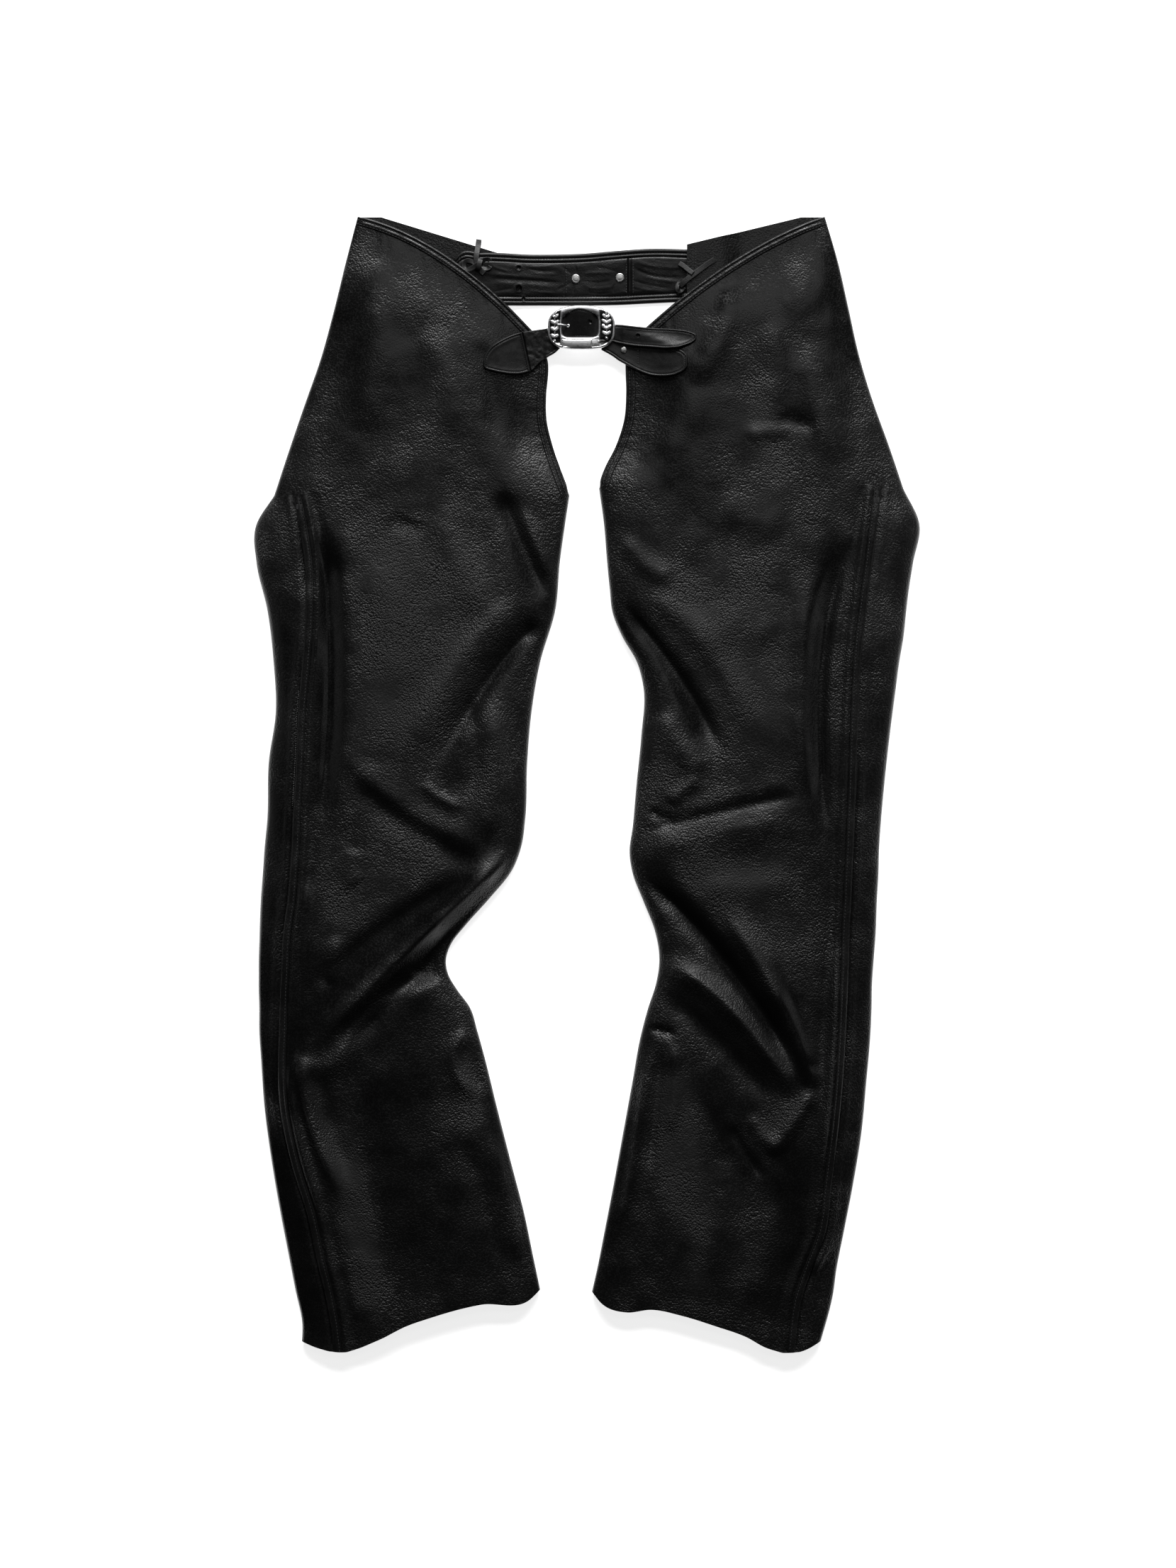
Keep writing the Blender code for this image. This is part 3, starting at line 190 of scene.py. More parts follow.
# Folds of the fronts: each is an arc through three points, with its own width on the side to the left of its
# run and on the side to the right. Ridges lift the leather, troughs sink it, and a low power gives a sharp
# crest. columns: start_x, start_y, middle_x, middle_y, end_x, end_y, left_width, right_width, lift, power
FOLDS_LEFT = (
    # zip side of the thigh
    (-250.0, 236.0, -241.0, 104.5, -253.0, -60.0, 13.0, 8.0, -5.5, 2.0),
    # crotch
    (-81.5, 275.5, -63.0, 231.0, -37.5, 169.0, 9.0, 13.0, -3.8, 1.6),
    (-64.0, 262.0, -48.0, 222.0, -30.0, 190.0, 9.0, 9.0, 2.2, 2.0),
    # thigh
    (-41.0, 149.5, -83.0, 112.0, -149.5, 3.5, 9.0, 16.0, -5.5, 1.5),
    (-66.0, 168.0, -118.0, 118.0, -176.0, 16.0, 22.0, 14.0, 3.2, 2.0),
    (-92.0, 84.0, -86.0, 5.0, -98.0, -57.5, 12.0, 16.0, 3.4, 2.0),
    (-118.0, 92.0, -104.0, 36.0, -118.0, -24.0, 7.0, 9.0, -1.6, 1.7),
    # knee, across
    (-232.0, 32.0, -171.0, -22.0, -88.0, -60.0, 16.0, 9.0, 1.6, 1.8),
    (-226.0, 12.0, -166.0, -42.0, -96.0, -76.0, 9.0, 16.0, -1.7, 2.0),
    (-156.0, 4.0, -140.0, -12.0, -114.0, -24.0, 6.0, 7.0, 1.8, 1.7),
    # outside of the knee
    (-257.5, -84.0, -262.0, -141.5, -256.5, -204.0, 8.0, 12.0, 2.8, 1.8),
    (-218.0, -58.0, -222.0, -78.0, -216.0, -98.0, 13.0, 13.0, 1.8, 2.0),
    (-238.0, -140.0, -236.0, -166.0, -244.0, -188.0, 8.0, 11.0, 1.9, 1.8),
    # below the knee, the largest
    (-60.0, -56.0, -152.5, -140.0, -262.0, -250.0, 10.0, 15.0, 7.2, 1.8),
    (-104.0, -84.0, -188.0, -134.0, -270.0, -204.0, 14.0, 11.0, -3.4, 2.0),
    (-84.0, -104.0, -156.0, -176.0, -245.0, -262.0, 14.0, 12.0, -6.4, 1.8),
    (-130.0, -186.0, -198.0, -214.0, -252.0, -286.0, 16.0, 9.0, 4.2, 1.8),
    (-134.0, -160.0, -152.0, -168.0, -176.0, -186.0, 8.0, 10.0, 0.5, 1.8),
    # calf
    (-268.0, -250.0, -262.0, -307.5, -222.0, -404.0, 15.0, 8.0, 4.2, 1.8),
    (-254.0, -262.0, -246.0, -312.0, -214.0, -384.0, 15.0, 10.0, -3.2, 2.0),
    (-284.0, -262.0, -272.0, -327.5, -240.0, -420.0, 7.0, 8.0, 2.4, 1.8),
    (-102.0, -226.0, -126.0, -258.0, -100.0, -300.0, 9.0, 9.0, 3.0, 1.8),
    (-84.0, -236.0, -104.0, -262.0, -92.0, -290.0, 7.0, 7.0, -2.2, 1.8),
    (-170.0, -172.0, -154.0, -177.0, -136.0, -179.0, 4.0, 4.0, -1.1, 1.5),
    (-93.0, -321.0, -73.0, -387.5, -60.0, -458.0, 9.0, 13.0, 2.4, 1.9),
    (-118.0, -330.0, -96.0, -396.0, -84.0, -452.0, 11.0, 11.0, -1.6, 2.0),
    (-190.0, -310.0, -168.0, -372.0, -176.0, -440.0, 22.0, 22.0, 1.6, 2.0),
    (-222.0, -430.0, -206.0, -468.0, -214.0, -506.0, 12.0, 14.0, 1.6, 2.0),
    # hip and upper thigh, soft
    (-214.0, 470.0, -196.0, 400.0, -222.0, 330.0, 22.0, 22.0, 1.9, 2.0),
    (-156.0, 430.0, -132.0, 380.0, -126.0, 322.0, 17.0, 17.0, 1.7, 2.0),
    (-104.0, 420.0, -92.0, 372.0, -86.0, 318.0, 12.0, 12.0, -1.4, 2.0),
    (-186.0, 252.0, -170.0, 243.0, -164.0, 247.0, 8.0, 12.0, -1.8, 1.6),
    (-262.0, 250.0, -268.0, 214.0, -258.0, 176.0, 7.0, 8.0, -1.0, 2.0),
    (-206.0, 210.0, -178.0, 150.0, -184.0, 80.0, 26.0, 26.0, 1.9, 2.0),
    (-150.0, 250.0, -118.0, 206.0, -104.0, 152.0, 18.0, 18.0, 1.8, 2.0),
)
FOLDS_RIGHT = (
    # zip side of the thigh
    (249.0, 236.0, 219.0, 104.5, 227.0, -70.0, 8.0, 13.0, -5.8, 2.0),
    (207.0, 196.0, 200.0, 85.0, 207.0, -18.0, 14.0, 12.0, 2.6, 2.0),
    (230.5, -140.0, 229.0, -261.0, 212.0, -372.0, 11.0, 8.0, 2.9, 1.7),
    (221.0, -150.0, 218.0, -240.0, 208.0, -270.0, 8.0, 8.0, -1.8, 2.0),
    # thigh
    (24.0, 178.0, 84.0, 104.0, 128.0, 22.0, 8.0, 15.0, -5.6, 1.5),
    (44.0, 182.0, 112.0, 128.0, 160.0, 30.0, 18.0, 14.0, 2.6, 2.0),
    (66.0, 70.0, 84.0, 36.0, 110.0, 6.0, 13.0, 13.0, 2.0, 2.0),
    (30.0, 236.0, 52.0, 206.0, 84.0, 190.0, 12.0, 12.0, 1.8, 2.0),
    # knee
    (84.0, -30.0, 143.5, -8.0, 198.0, 0.0, 14.0, 10.0, 0.9, 1.8),
    (38.0, -49.0, 120.0, -27.0, 205.0, -9.0, 6.0, 6.0, -1.6, 1.6),
    (42.0, -68.0, 120.0, -48.0, 206.0, -28.0, 15.0, 28.0, 2.6, 1.7),
    (76.0, -20.0, 88.0, -6.0, 108.0, 6.0, 8.0, 8.0, 1.8, 2.0),
    (46.0, -84.0, 122.0, -158.0, 201.0, -276.0, 10.0, 11.0, -6.6, 1.6),
    (120.0, -108.0, 176.5, -200.0, 211.0, -290.0, 14.0, 10.0, 5.6, 1.8),
    (211.0, -284.0, 193.0, -316.0, 168.0, -352.0, 9.0, 10.0, 3.6, 1.8),
    (70.0, -166.0, 136.0, -213.0, 198.0, -298.0, 10.0, 13.0, 6.0, 1.7),
    (64.0, -194.0, 120.0, -240.0, 178.0, -306.0, 11.0, 14.0, -3.0, 2.0),
    (134.5, -318.0, 146.0, -344.0, 168.0, -372.0, 6.0, 8.0, -3.0, 1.4),
    (150.0, -308.0, 164.0, -330.0, 182.0, -346.0, 8.0, 8.0, 1.9, 1.9),
    # calf
    (54.0, -228.0, 68.0, -231.0, 84.0, -236.0, 4.0, 5.0, -2.4, 1.4),
    (56.5, -242.5, 46.0, -327.5, 30.0, -425.0, 7.0, 9.0, 3.0, 1.8),
    (69.0, -240.0, 64.0, -300.0, 56.0, -370.0, 6.0, 6.0, -2.4, 1.8),
    (77.0, -240.0, 82.0, -281.0, 74.0, -332.0, 8.0, 8.0, 2.4, 1.8),
    (118.0, -350.0, 128.0, -402.0, 108.0, -460.0, 20.0, 22.0, 1.8, 2.0),
    (176.0, -390.0, 168.0, -440.0, 150.0, -486.0, 14.0, 14.0, 1.7, 2.0),
    (240.5, -408.0, 226.5, -434.5, 206.0, -462.0, 6.0, 6.0, 2.2, 1.8),
    # shin below the knee
    (96.0, -92.0, 152.0, -98.0, 196.0, -84.0, 16.0, 18.0, 1.8, 2.0),
    (60.0, -22.0, 66.0, -30.0, 84.0, -34.0, 6.0, 6.0, -1.8, 1.6),
    # hip and upper thigh, soft
    (132.0, 470.0, 124.0, 420.0, 96.0, 372.0, 14.0, 14.0, 1.6, 2.0),
    (164.0, 434.0, 178.0, 396.0, 168.0, 352.0, 14.0, 18.0, 1.7, 2.0),
    (204.0, 416.0, 214.0, 356.0, 238.0, 300.0, 20.0, 20.0, 1.9, 2.0),
    (176.0, 346.0, 198.0, 338.0, 214.0, 336.0, 9.0, 9.0, -1.5, 1.8),
    (150.0, 322.0, 166.0, 330.0, 188.0, 326.0, 9.0, 9.0, 1.4, 2.0),
    (120.0, 262.0, 152.0, 250.0, 186.0, 236.0, 20.0, 20.0, 1.6, 2.0),
    (88.0, 128.0, 140.0, 150.0, 180.0, 134.0, 26.0, 26.0, 1.6, 2.0),
)
# Sheen of the fronts, with the same columns as the folds: stretched and smooth below 0, full-grained above
SHEEN_LEFT = (
    (-214.0, 500.0, -222.0, 390.0, -228.0, 262.0, 34.0, 34.0, -0.5, 2.4),
    (-30.0, 400.0, -120.0, 490.0, -250.0, 560.0, 50.0, 34.0, -0.45, 2.4),
    (-76.0, 420.0, -80.0, 370.0, -60.0, 290.0, 30.0, 30.0, -0.35, 2.0),
    (-50.0, 480.0, -130.0, 410.0, -230.0, 330.0, 80.0, 100.0, -0.3, 2.6),
    (-110.0, 240.0, -150.0, 120.0, -140.0, -10.0, 80.0, 80.0, 0.6, 2.4),
    (-120.0, -40.0, -190.0, -90.0, -250.0, -140.0, 50.0, 50.0, 0.6, 2.4),
    (-166.0, -184.0, -154.0, -180.0, -140.0, -180.0, 10.0, 10.0, 1.5, 2.0),
    (-88.0, -84.0, -115.0, -110.0, -144.0, -138.0, 9.0, 9.0, 1.5, 2.0),
    (-246.0, 262.0, -240.0, 140.0, -254.0, -84.0, 17.0, 15.0, -0.8, 2.4),
    (-88.0, 320.0, -74.0, 240.0, -50.0, 158.0, 12.0, 12.0, -0.7, 2.0),
    (-40.0, 160.0, -94.0, 86.0, -146.0, -6.0, 12.0, 12.0, -0.9, 2.0),
    (-226.0, 4.0, -160.0, -40.0, -86.0, -80.0, 10.0, 10.0, -0.6, 2.0),
    (-80.0, -80.0, -175.0, -135.0, -272.0, -232.0, 17.0, 17.0, -1.2, 2.6),
    (-258.0, -206.0, -284.0, -264.0, -262.0, -322.0, 18.0, 18.0, -1.0, 2.4),
    (-196.0, -190.0, -184.0, -310.0, -168.0, -480.0, 52.0, 40.0, -0.5, 2.6),
    (-290.0, -300.0, -280.0, -420.0, -250.0, -540.0, 24.0, 24.0, -1.0, 2.6),
    (-300.0, -60.0, -306.0, -190.0, -302.0, -320.0, 12.0, 12.0, -0.8, 2.2),
    (-284.0, 180.0, -284.0, 20.0, -284.0, -100.0, 10.0, 10.0, -0.5, 2.0),
    (-128.0, 480.0, -136.0, 390.0, -144.0, 310.0, 20.0, 20.0, 0.5, 2.0),
    (-196.0, 262.0, -180.0, 150.0, -190.0, 10.0, 44.0, 44.0, 0.8, 2.4),
    (-110.0, 250.0, -118.0, 150.0, -136.0, 60.0, 30.0, 30.0, 0.3, 2.0),
    (-80.0, 70.0, -90.0, 30.0, -106.0, -16.0, 16.0, 16.0, 0.5, 2.0),
    (-222.0, -100.0, -232.0, -140.0, -240.0, -180.0, 12.0, 12.0, 0.6, 2.0),
    (-246.0, -300.0, -216.0, -400.0, -202.0, -520.0, 20.0, 20.0, 1.9, 2.2),
    (-96.0, -240.0, -112.0, -282.0, -96.0, -330.0, 14.0, 14.0, 0.8, 2.0),
    (-298.0, 280.0, -306.0, 240.0, -300.0, 200.0, 14.0, 14.0, 0.5, 2.0),
    (-267.0, 230.0, -266.0, 80.0, -269.0, -70.0, 5.0, 5.0, 0.5, 2.0),
)
SHEEN_RIGHT = (
    (40.0, 408.0, 75.0, 400.0, 104.0, 402.0, 14.0, 14.0, -0.9, 2.0),
    (30.0, 400.0, 130.0, 492.0, 250.0, 560.0, 34.0, 50.0, -0.5, 2.4),
    (60.0, 480.0, 130.0, 410.0, 230.0, 310.0, 110.0, 80.0, -0.35, 2.6),
    (80.0, 210.0, 150.0, 120.0, 150.0, 0.0, 80.0, 80.0, 0.6, 2.4),
    (60.0, -50.0, 140.0, -110.0, 200.0, -200.0, 50.0, 50.0, 0.55, 2.4),
    (282.0, 280.0, 270.0, 190.0, 262.0, 110.0, 22.0, 22.0, 0.6, 2.0),
    (84.0, 420.0, 88.0, 320.0, 104.0, 200.0, 44.0, 38.0, -0.6, 2.4),
    (226.0, 530.0, 228.0, 440.0, 246.0, 330.0, 20.0, 20.0, -0.7, 2.0),
    (238.0, 252.0, 214.0, 140.0, 222.0, -104.0, 14.0, 14.0, -0.8, 2.4),
    (24.0, 172.0, 75.0, 100.0, 120.0, 14.0, 14.0, 14.0, -1.0, 2.2),
    (48.0, -66.0, 120.0, -150.0, 198.0, -276.0, 14.0, 14.0, -1.2, 2.4),
    (160.0, -146.0, 194.0, -220.0, 202.0, -300.0, 10.0, 10.0, -0.9, 2.0),
    (64.0, -200.0, 110.0, -226.0, 166.0, -292.0, 26.0, 22.0, -0.7, 2.4),
    (108.0, -280.0, 136.0, -340.0, 172.0, -384.0, 12.0, 12.0, -0.9, 2.0),
    (44.0, -240.0, 32.0, -350.0, 20.0, -480.0, 17.0, 17.0, -0.4, 2.0),
    (196.0, -310.0, 188.0, -400.0, 164.0, -510.0, 28.0, 28.0, -0.6, 2.4),
    (180.0, 400.0, 164.0, 336.0, 194.0, 270.0, 18.0, 18.0, 0.9, 2.0),
    (76.0, 446.0, 110.0, 440.0, 140.0, 426.0, 16.0, 16.0, 0.4, 2.0),
    (70.0, 214.0, 130.0, 130.0, 176.0, 40.0, 38.0, 38.0, 0.35, 2.0),
    (66.0, 60.0, 72.0, 24.0, 70.0, -16.0, 20.0, 20.0, 0.5, 2.0),
    (84.0, -76.0, 140.0, -92.0, 196.0, -64.0, 26.0, 26.0, 0.9, 2.2),
    (60.0, -168.0, 124.0, -190.0, 200.0, -290.0, 8.0, 8.0, 1.0, 2.0),
    (74.0, -262.0, 84.0, -330.0, 98.0, -430.0, 24.0, 24.0, 1.9, 2.0),
    (130.0, -340.0, 150.0, -420.0, 150.0, -500.0, 40.0, 40.0, 0.4, 2.4),
    (110.0, -380.0, 104.0, -430.0, 100.0, -500.0, 16.0, 16.0, 0.7, 2.0),
    (154.0, -338.0, 178.0, -312.0, 208.0, -296.0, 9.0, 9.0, 1.3, 2.0),
    (229.0, -110.0, 228.0, -240.0, 218.0, -380.0, 7.0, 7.0, 0.6, 2.0),
)

# The scene's folds are a little narrower and deeper than the solids'
NARROW = 0.8
DEEPEN = 1.25
LEFT = Leg("left", HIP_LEFT, SECTIONS_LEFT, HEM_LEFT, FOLDS_LEFT, SHEEN_LEFT)
RIGHT = Leg("right", HIP_RIGHT, SECTIONS_RIGHT, HEM_RIGHT, FOLDS_RIGHT, SHEEN_RIGHT)


# Curves and arrays

def smooth(stations, values, at):
    """Cubic curve through the values at rising stations, with slopes taken from their neighbours."""
    stations = np.asarray(stations, float)
    values = np.asarray(values, float)
    at = np.clip(at, stations[0], stations[-1])
    slopes = np.gradient(values, stations)
    i = np.clip(np.searchsorted(stations, at, side="right") - 1, 0, len(stations) - 2)
    step = stations[i + 1] - stations[i]
    u = (at - stations[i]) / step
    near = (1 + 2 * u) * (1 - u) ** 2 * values[i] + u * (1 - u) ** 2 * step * slopes[i]
    far = u * u * (3 - 2 * u) * values[i + 1] + u * u * (u - 1) * step * slopes[i + 1]
    return near + far


def ease(u):
    """0 below 0, 1 above 1, and 3u^2 - 2u^3 between."""
    u = np.clip(u, 0.0, 1.0)
    return u * u * (3 - 2 * u)


def rise(u):
    """A quarter of a superellipse: upright at 0 and level from 1 on."""
    u = np.clip(u, 0.0, 1.0)
    return (1 - (1 - u) ** RISE_POWER) ** (1 / RISE_POWER)


def unit(vectors):
    """Vectors along the last axis, each divided by its length."""
    size = np.linalg.norm(vectors, axis=-1, keepdims=True)
    return vectors / np.where(size > 1e-9, size, 1.0)


def lattice_noise(x, y, cell, seed):
    """Smooth random height between about -1 and 1: random values on a square lattice, eased between."""
    random = np.random.RandomState(seed).uniform(-1, 1, (64, 64))
    u, v = x / cell + 500.0, y / cell + 500.0
    i, j = np.floor(u).astype(int), np.floor(v).astype(int)
    fu, fv = ease(u - i), ease(v - j)
    i0, j0, i1, j1 = i % 64, j % 64, (i + 1) % 64, (j + 1) % 64
    low = random[i0, j0] * (1 - fu) + random[i1, j0] * fu
    high = random[i0, j1] * (1 - fu) + random[i1, j1] * fu
    return low * (1 - fv) + high * fv


def arc_points(row, count):
    """Points of the parabola that passes through a table row's three points at 0, one half and 1."""
    start, middle, end = np.array(row[0:2]), np.array(row[2:4]), np.array(row[4:6])
    bend = 2 * middle - (start + end) / 2
    u = np.linspace(0, 1, count)[:, None]
    return (1 - u) ** 2 * start + 2 * u * (1 - u) * bend + u * u * end


def fold_sum(folds, x, y):
    """Sum of the folds at each place. One fold is its lift, times a fade along its arc, times
    exp(-(distance / width)^power) across it, with its own width on either side."""
    total = np.zeros_like(x)
    for row in folds:
        left_width, right_width, lift, power = row[6:]
        left_width, right_width, lift = left_width * NARROW, right_width * NARROW, lift * DEEPEN
        path = arc_points(row, 25)
        reach = 3.2 * max(left_width, right_width)
        low, high = path.min(0) - reach, path.max(0) + reach
        near = (x > low[0]) & (x < high[0]) & (y > low[1]) & (y < high[1])
        px, py = x[near][:, None], y[near][:, None]
        a, step = path[:-1], np.diff(path, axis=0)
        long = (step ** 2).sum(1)
        t = np.clip(((px - a[:, 0]) * step[:, 0] + (py - a[:, 1]) * step[:, 1]) / long, 0, 1)
        dx, dy = px - a[:, 0] - t * step[:, 0], py - a[:, 1] - t * step[:, 1]
        away = dx * dx + dy * dy
        k = away.argmin(1)
        rows = np.arange(len(k))
        along = (k + t[rows, k]) / len(a)
        side = step[k, 0] * dy[rows, k] - step[k, 1] * dx[rows, k]
        blend = ease(0.5 + side / np.sqrt(long[k]) / left_width)
        width = right_width + (left_width - right_width) * blend
        fade = ease(along / 0.24) * ease((1 - along) / 0.24)
        total[near] += lift * fade * np.exp(-(np.sqrt(away[rows, k]) / width + 1e-6) ** power)
    return total


# The surface of a leg

def leg_xy(leg, share, down):
    """Place on the outline's map: share runs from the inner edge (0) to the outer fold (1), and down from
    the waist (0) through the crotch (1) to the hem (2)."""
    hip = np.array(leg.hip).T
    rows = np.arange(len(leg.hip))
    place = np.clip(down, 0.0, 1.0) * rows[-1]
    inner_x, inner_y, outer_x, outer_y, bow = [smooth(rows, column, place) for column in hip[:5]]
    hip_x = inner_x + (outer_x - inner_x) * share
    hip_y = inner_y + (outer_y - inner_y) * share + bow * 4 * share * (1 - share)
    y, inner, _, outer, _ = np.array(leg.sections[::-1]).T
    hem_share, hem_y = np.array(leg.hem).T
    along = np.clip(down - 1.0, 0.0, 1.0)
    hem = smooth(hem_share, hem_y, share)
    crotch_y = leg.sections[0][0]
    bend = ease((along - HEM_BEND) / (1 - HEM_BEND))
    leg_y = crotch_y + along * (hem_y[0] - crotch_y) + bend * (hem - hem_y[0])
    leg_x = smooth(y, inner, leg_y) * (1 - share) + smooth(y, outer, leg_y) * share
    low = down > 1.0
    return np.where(low, leg_x, hip_x), np.where(low, leg_y, hip_y)


def zip_share(leg, down):
    """Share of the width at which the zip line lies."""
    y, inner, zip_x, outer, _ = np.array(leg.sections[::-1]).T
    share = np.full_like(down, 0.88)
    for _ in range(6):
        _, at = leg_xy(leg, share, np.maximum(down, 1.0))
        near, far = smooth(y, inner, at), smooth(y, outer, at)
        share = (smooth(y, zip_x, at) - near) / (far - near)
    return share


def leg_width(leg, down):
    """Length of the section from the inner edge to the outer fold."""
    inner_x, inner_y = leg_xy(leg, np.zeros_like(down), down)
    outer_x, outer_y = leg_xy(leg, np.ones_like(down), down)
    return np.hypot(outer_x - inner_x, outer_y - inner_y)


def hip_length(share):
    """Length of the hips from the waist to the crotch at a share of the width."""
    return HIP_LENGTH_INNER + (HIP_LENGTH_OUTER - HIP_LENGTH_INNER) * share


def zip_relief(d):
    """Leather beside the zip, by the distance from it towards the leg's middle: a rolled edge and a shallow
    valley on the front, and a narrow groove and a soft ridge on the back."""
    front = 1.7 * np.exp(-((d - 7.6) / 2.9) ** 2) - 1.3 * np.exp(-((d - 15.0) / 5.0) ** 2)
    back = -1.5 * np.exp(-((d + 4.9) / 1.1) ** 2) + 1.3 * np.exp(-((d + 9.0) / 3.2) ** 2)
    return front + back


def surface(leg, share, down):
    """The leather's outer face on the front side. Its height is the loft of the flattened tube, rounded
    down to the outer fold and to the inner fold or free edge, plus the folds and a slow unevenness."""
    share, down = np.broadcast_arrays(np.asarray(share, float), np.asarray(down, float))
    x, y = leg_xy(leg, share, down)
    width = leg_width(leg, down)
    stations, _, _, _, lofts = np.array(leg.sections[::-1]).T
    hip_loft = HIP_LOFT + (CROTCH_LOFT - HIP_LOFT) * ease(down)
    loft = np.where(down > 1.0, smooth(stations, lofts, y), hip_loft)
    from_inner = share * width
    from_outer = (1 - share) * width
    from_waist = np.clip(down, 0, 1) * np.where(down < 1.0, hip_length(share), HIP_LENGTH_OUTER)
    tube = ease((down - 0.6) / 0.4)
    inner_rise = (1 - tube) * ease(from_inner / FREE_RISE) + tube * rise(from_inner / RISE)
    edge = CORNER_HEIGHT + (FREE_EDGE_HEIGHT - CORNER_HEIGHT) * ease(down / 0.5)
    waist_rise = ease(from_waist / WAIST_RISE)
    body = loft - (loft - edge) * (1 - inner_rise) - (loft - WAIST_HEIGHT) * (1 - waist_rise) * inner_rise
    inside = ease(from_inner / FOLD_MARGIN) * ease(from_outer / FOLD_MARGIN) * ease(from_waist / WAIST_MARGIN)
    uneven = 1.0 * lattice_noise(x, y, 58.0, 3) + 0.5 * lattice_noise(x, y, 25.0, 5)
    uneven = uneven + 0.18 * lattice_noise(x, y, 11.0, 8)
    body = body + (fold_sum(leg.folds, x, y) + uneven) * inside
    pull_in = lattice_noise(y, from_inner * 0.3, 4.6, 61) * np.exp(-((from_inner - 11.0) / 7.0) ** 2)
    pull_down = lattice_noise(x, from_waist * 0.3, 4.6, 62) * np.exp(-((from_waist - 11.0) / 7.0) ** 2)
    body = body + 0.32 * (pull_in * (1 - tube) + pull_down)
    from_zip = (zip_share(leg, down) - share) * width
    body = body + zip_relief(from_zip) * ease((down - 0.98) / 0.04)
    z = FOLD_RADIUS + (body - FOLD_RADIUS) * rise(from_outer / RISE)
    return np.stack([x, y, z], axis=-1)


def lane(leg, share, down, offsets, lift=0.0):
    """A lane on the leather: a path given in shares, widened square to itself by offsets in millimetres and
    raised along the leather's own normal. Positive offsets lie to the left of the path's run."""
    small = 1e-4
    share, down = np.asarray(share, float), np.asarray(down, float)
    here = np.stack(leg_xy(leg, share, down), -1)
    per_share = (np.stack(leg_xy(leg, share + small, down), -1) - here) / small
    per_down = (np.stack(leg_xy(leg, share, down + small), -1) - here) / small
    run = unit(np.gradient(here, axis=0))
    left = np.stack([-run[:, 1], run[:, 0]], -1)
    det = per_share[:, 0] * per_down[:, 1] - per_share[:, 1] * per_down[:, 0]
    d_share = (left[:, 0] * per_down[:, 1] - left[:, 1] * per_down[:, 0]) / det
    d_down = (per_share[:, 0] * left[:, 1] - per_share[:, 1] * left[:, 0]) / det
    offsets = np.asarray(offsets, float)
    at_share = np.clip(share[:, None] + d_share[:, None] * offsets, 0.0, 1.0)
    at_down = np.clip(down[:, None] + d_down[:, None] * offsets, 0.0, 2.0)
    points = surface(leg, at_share, at_down)
    flat = here[:, None] + left[:, None] * offsets[None, :, None]
    points[..., :2] = flat
    normals = unit(np.cross(np.gradient(points, axis=0), np.gradient(points, axis=1)))
    normals *= np.sign(normals[..., 2:3] + 1e-9)
    return points + normals * lift, normals


# Meshes

def add_mesh(name, points, faces, material, smooth_shade=True, attribute=None):
    """One object from points in millimetres and an array of quads, where a triangle repeats its last
    corner. Its place is in its mesh."""
    faces = np.asarray(faces, np.int64)
    triangle = faces[:, 2] == faces[:, 3]
    counts = np.where(triangle, 3, 4)
    keep = np.ones(faces.shape, bool)
    keep[triangle, 3] = False
    mesh = bpy.data.meshes.new(name)
    places = (np.asarray(points, float).reshape(-1, 3) - MIDDLE) * MM
    mesh.vertices.add(len(places))
    mesh.vertices.foreach_set("co", places.astype(np.float32).ravel())
    mesh.loops.add(int(counts.sum()))
    mesh.loops.foreach_set("vertex_index", faces[keep].astype(np.int32))
    mesh.polygons.add(len(faces))
    starts = np.concatenate([[0], np.cumsum(counts)[:-1]])
    mesh.polygons.foreach_set("loop_start", starts.astype(np.int32))
    mesh.polygons.foreach_set("use_smooth", np.full(len(faces), smooth_shade))
    if attribute is not None:
        layer = mesh.attributes.new("detail", "FLOAT", "POINT")
        layer.data.foreach_set("value", np.asarray(attribute, np.float32).ravel())
    mesh.update(calc_edges=True)
    mesh.validate()
    if smooth_shade:
        mesh.set_sharp_from_angle(angle=math.radians(50))
    piece = bpy.data.objects.new(name, mesh)
    piece.data.materials.append(material)
    bpy.context.scene.collection.objects.link(piece)
    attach(piece, "root")
    return piece


def cells(rows, columns, mask=None):
    """Quads of a rows by columns grid, those in the mask."""
    r, c = np.meshgrid(np.arange(rows - 1), np.arange(columns - 1), indexing="ij")
    first = r * columns + c
    quads = np.stack([first, first + 1, first + columns + 1, first + columns], -1)
    return quads[mask] if mask is not None else quads.reshape(-1, 4)


def shell(outside, inside, quads):
    """A closed wall: the quads on the outside, the same turned over on the inside, and rims between along
    every edge that only one quad has. Returns the points in use and the faces."""
    count = len(outside)
    edges = np.concatenate([np.stack([quads[:, k], quads[:, (k + 1) % 4]], -1) for k in range(4)])
    key = edges[:, 0] * count + edges[:, 1]
    back = edges[:, 1] * count + edges[:, 0]
    rim = edges[~np.isin(key, back)]
    walls = np.stack([rim[:, 1], rim[:, 0], rim[:, 0] + count, rim[:, 1] + count], -1)
    faces = np.concatenate([quads, quads[:, ::-1] + count, walls])
    used, faces = np.unique(faces, return_inverse=True)
    return np.concatenate([outside, inside])[used], faces.reshape(-1, 4), used


def outward_normals(grid, side):
    """Unit normals of a grid, from the cross product of its two directions."""
    return side * unit(np.cross(np.gradient(grid, axis=1), np.gradient(grid, axis=0)))


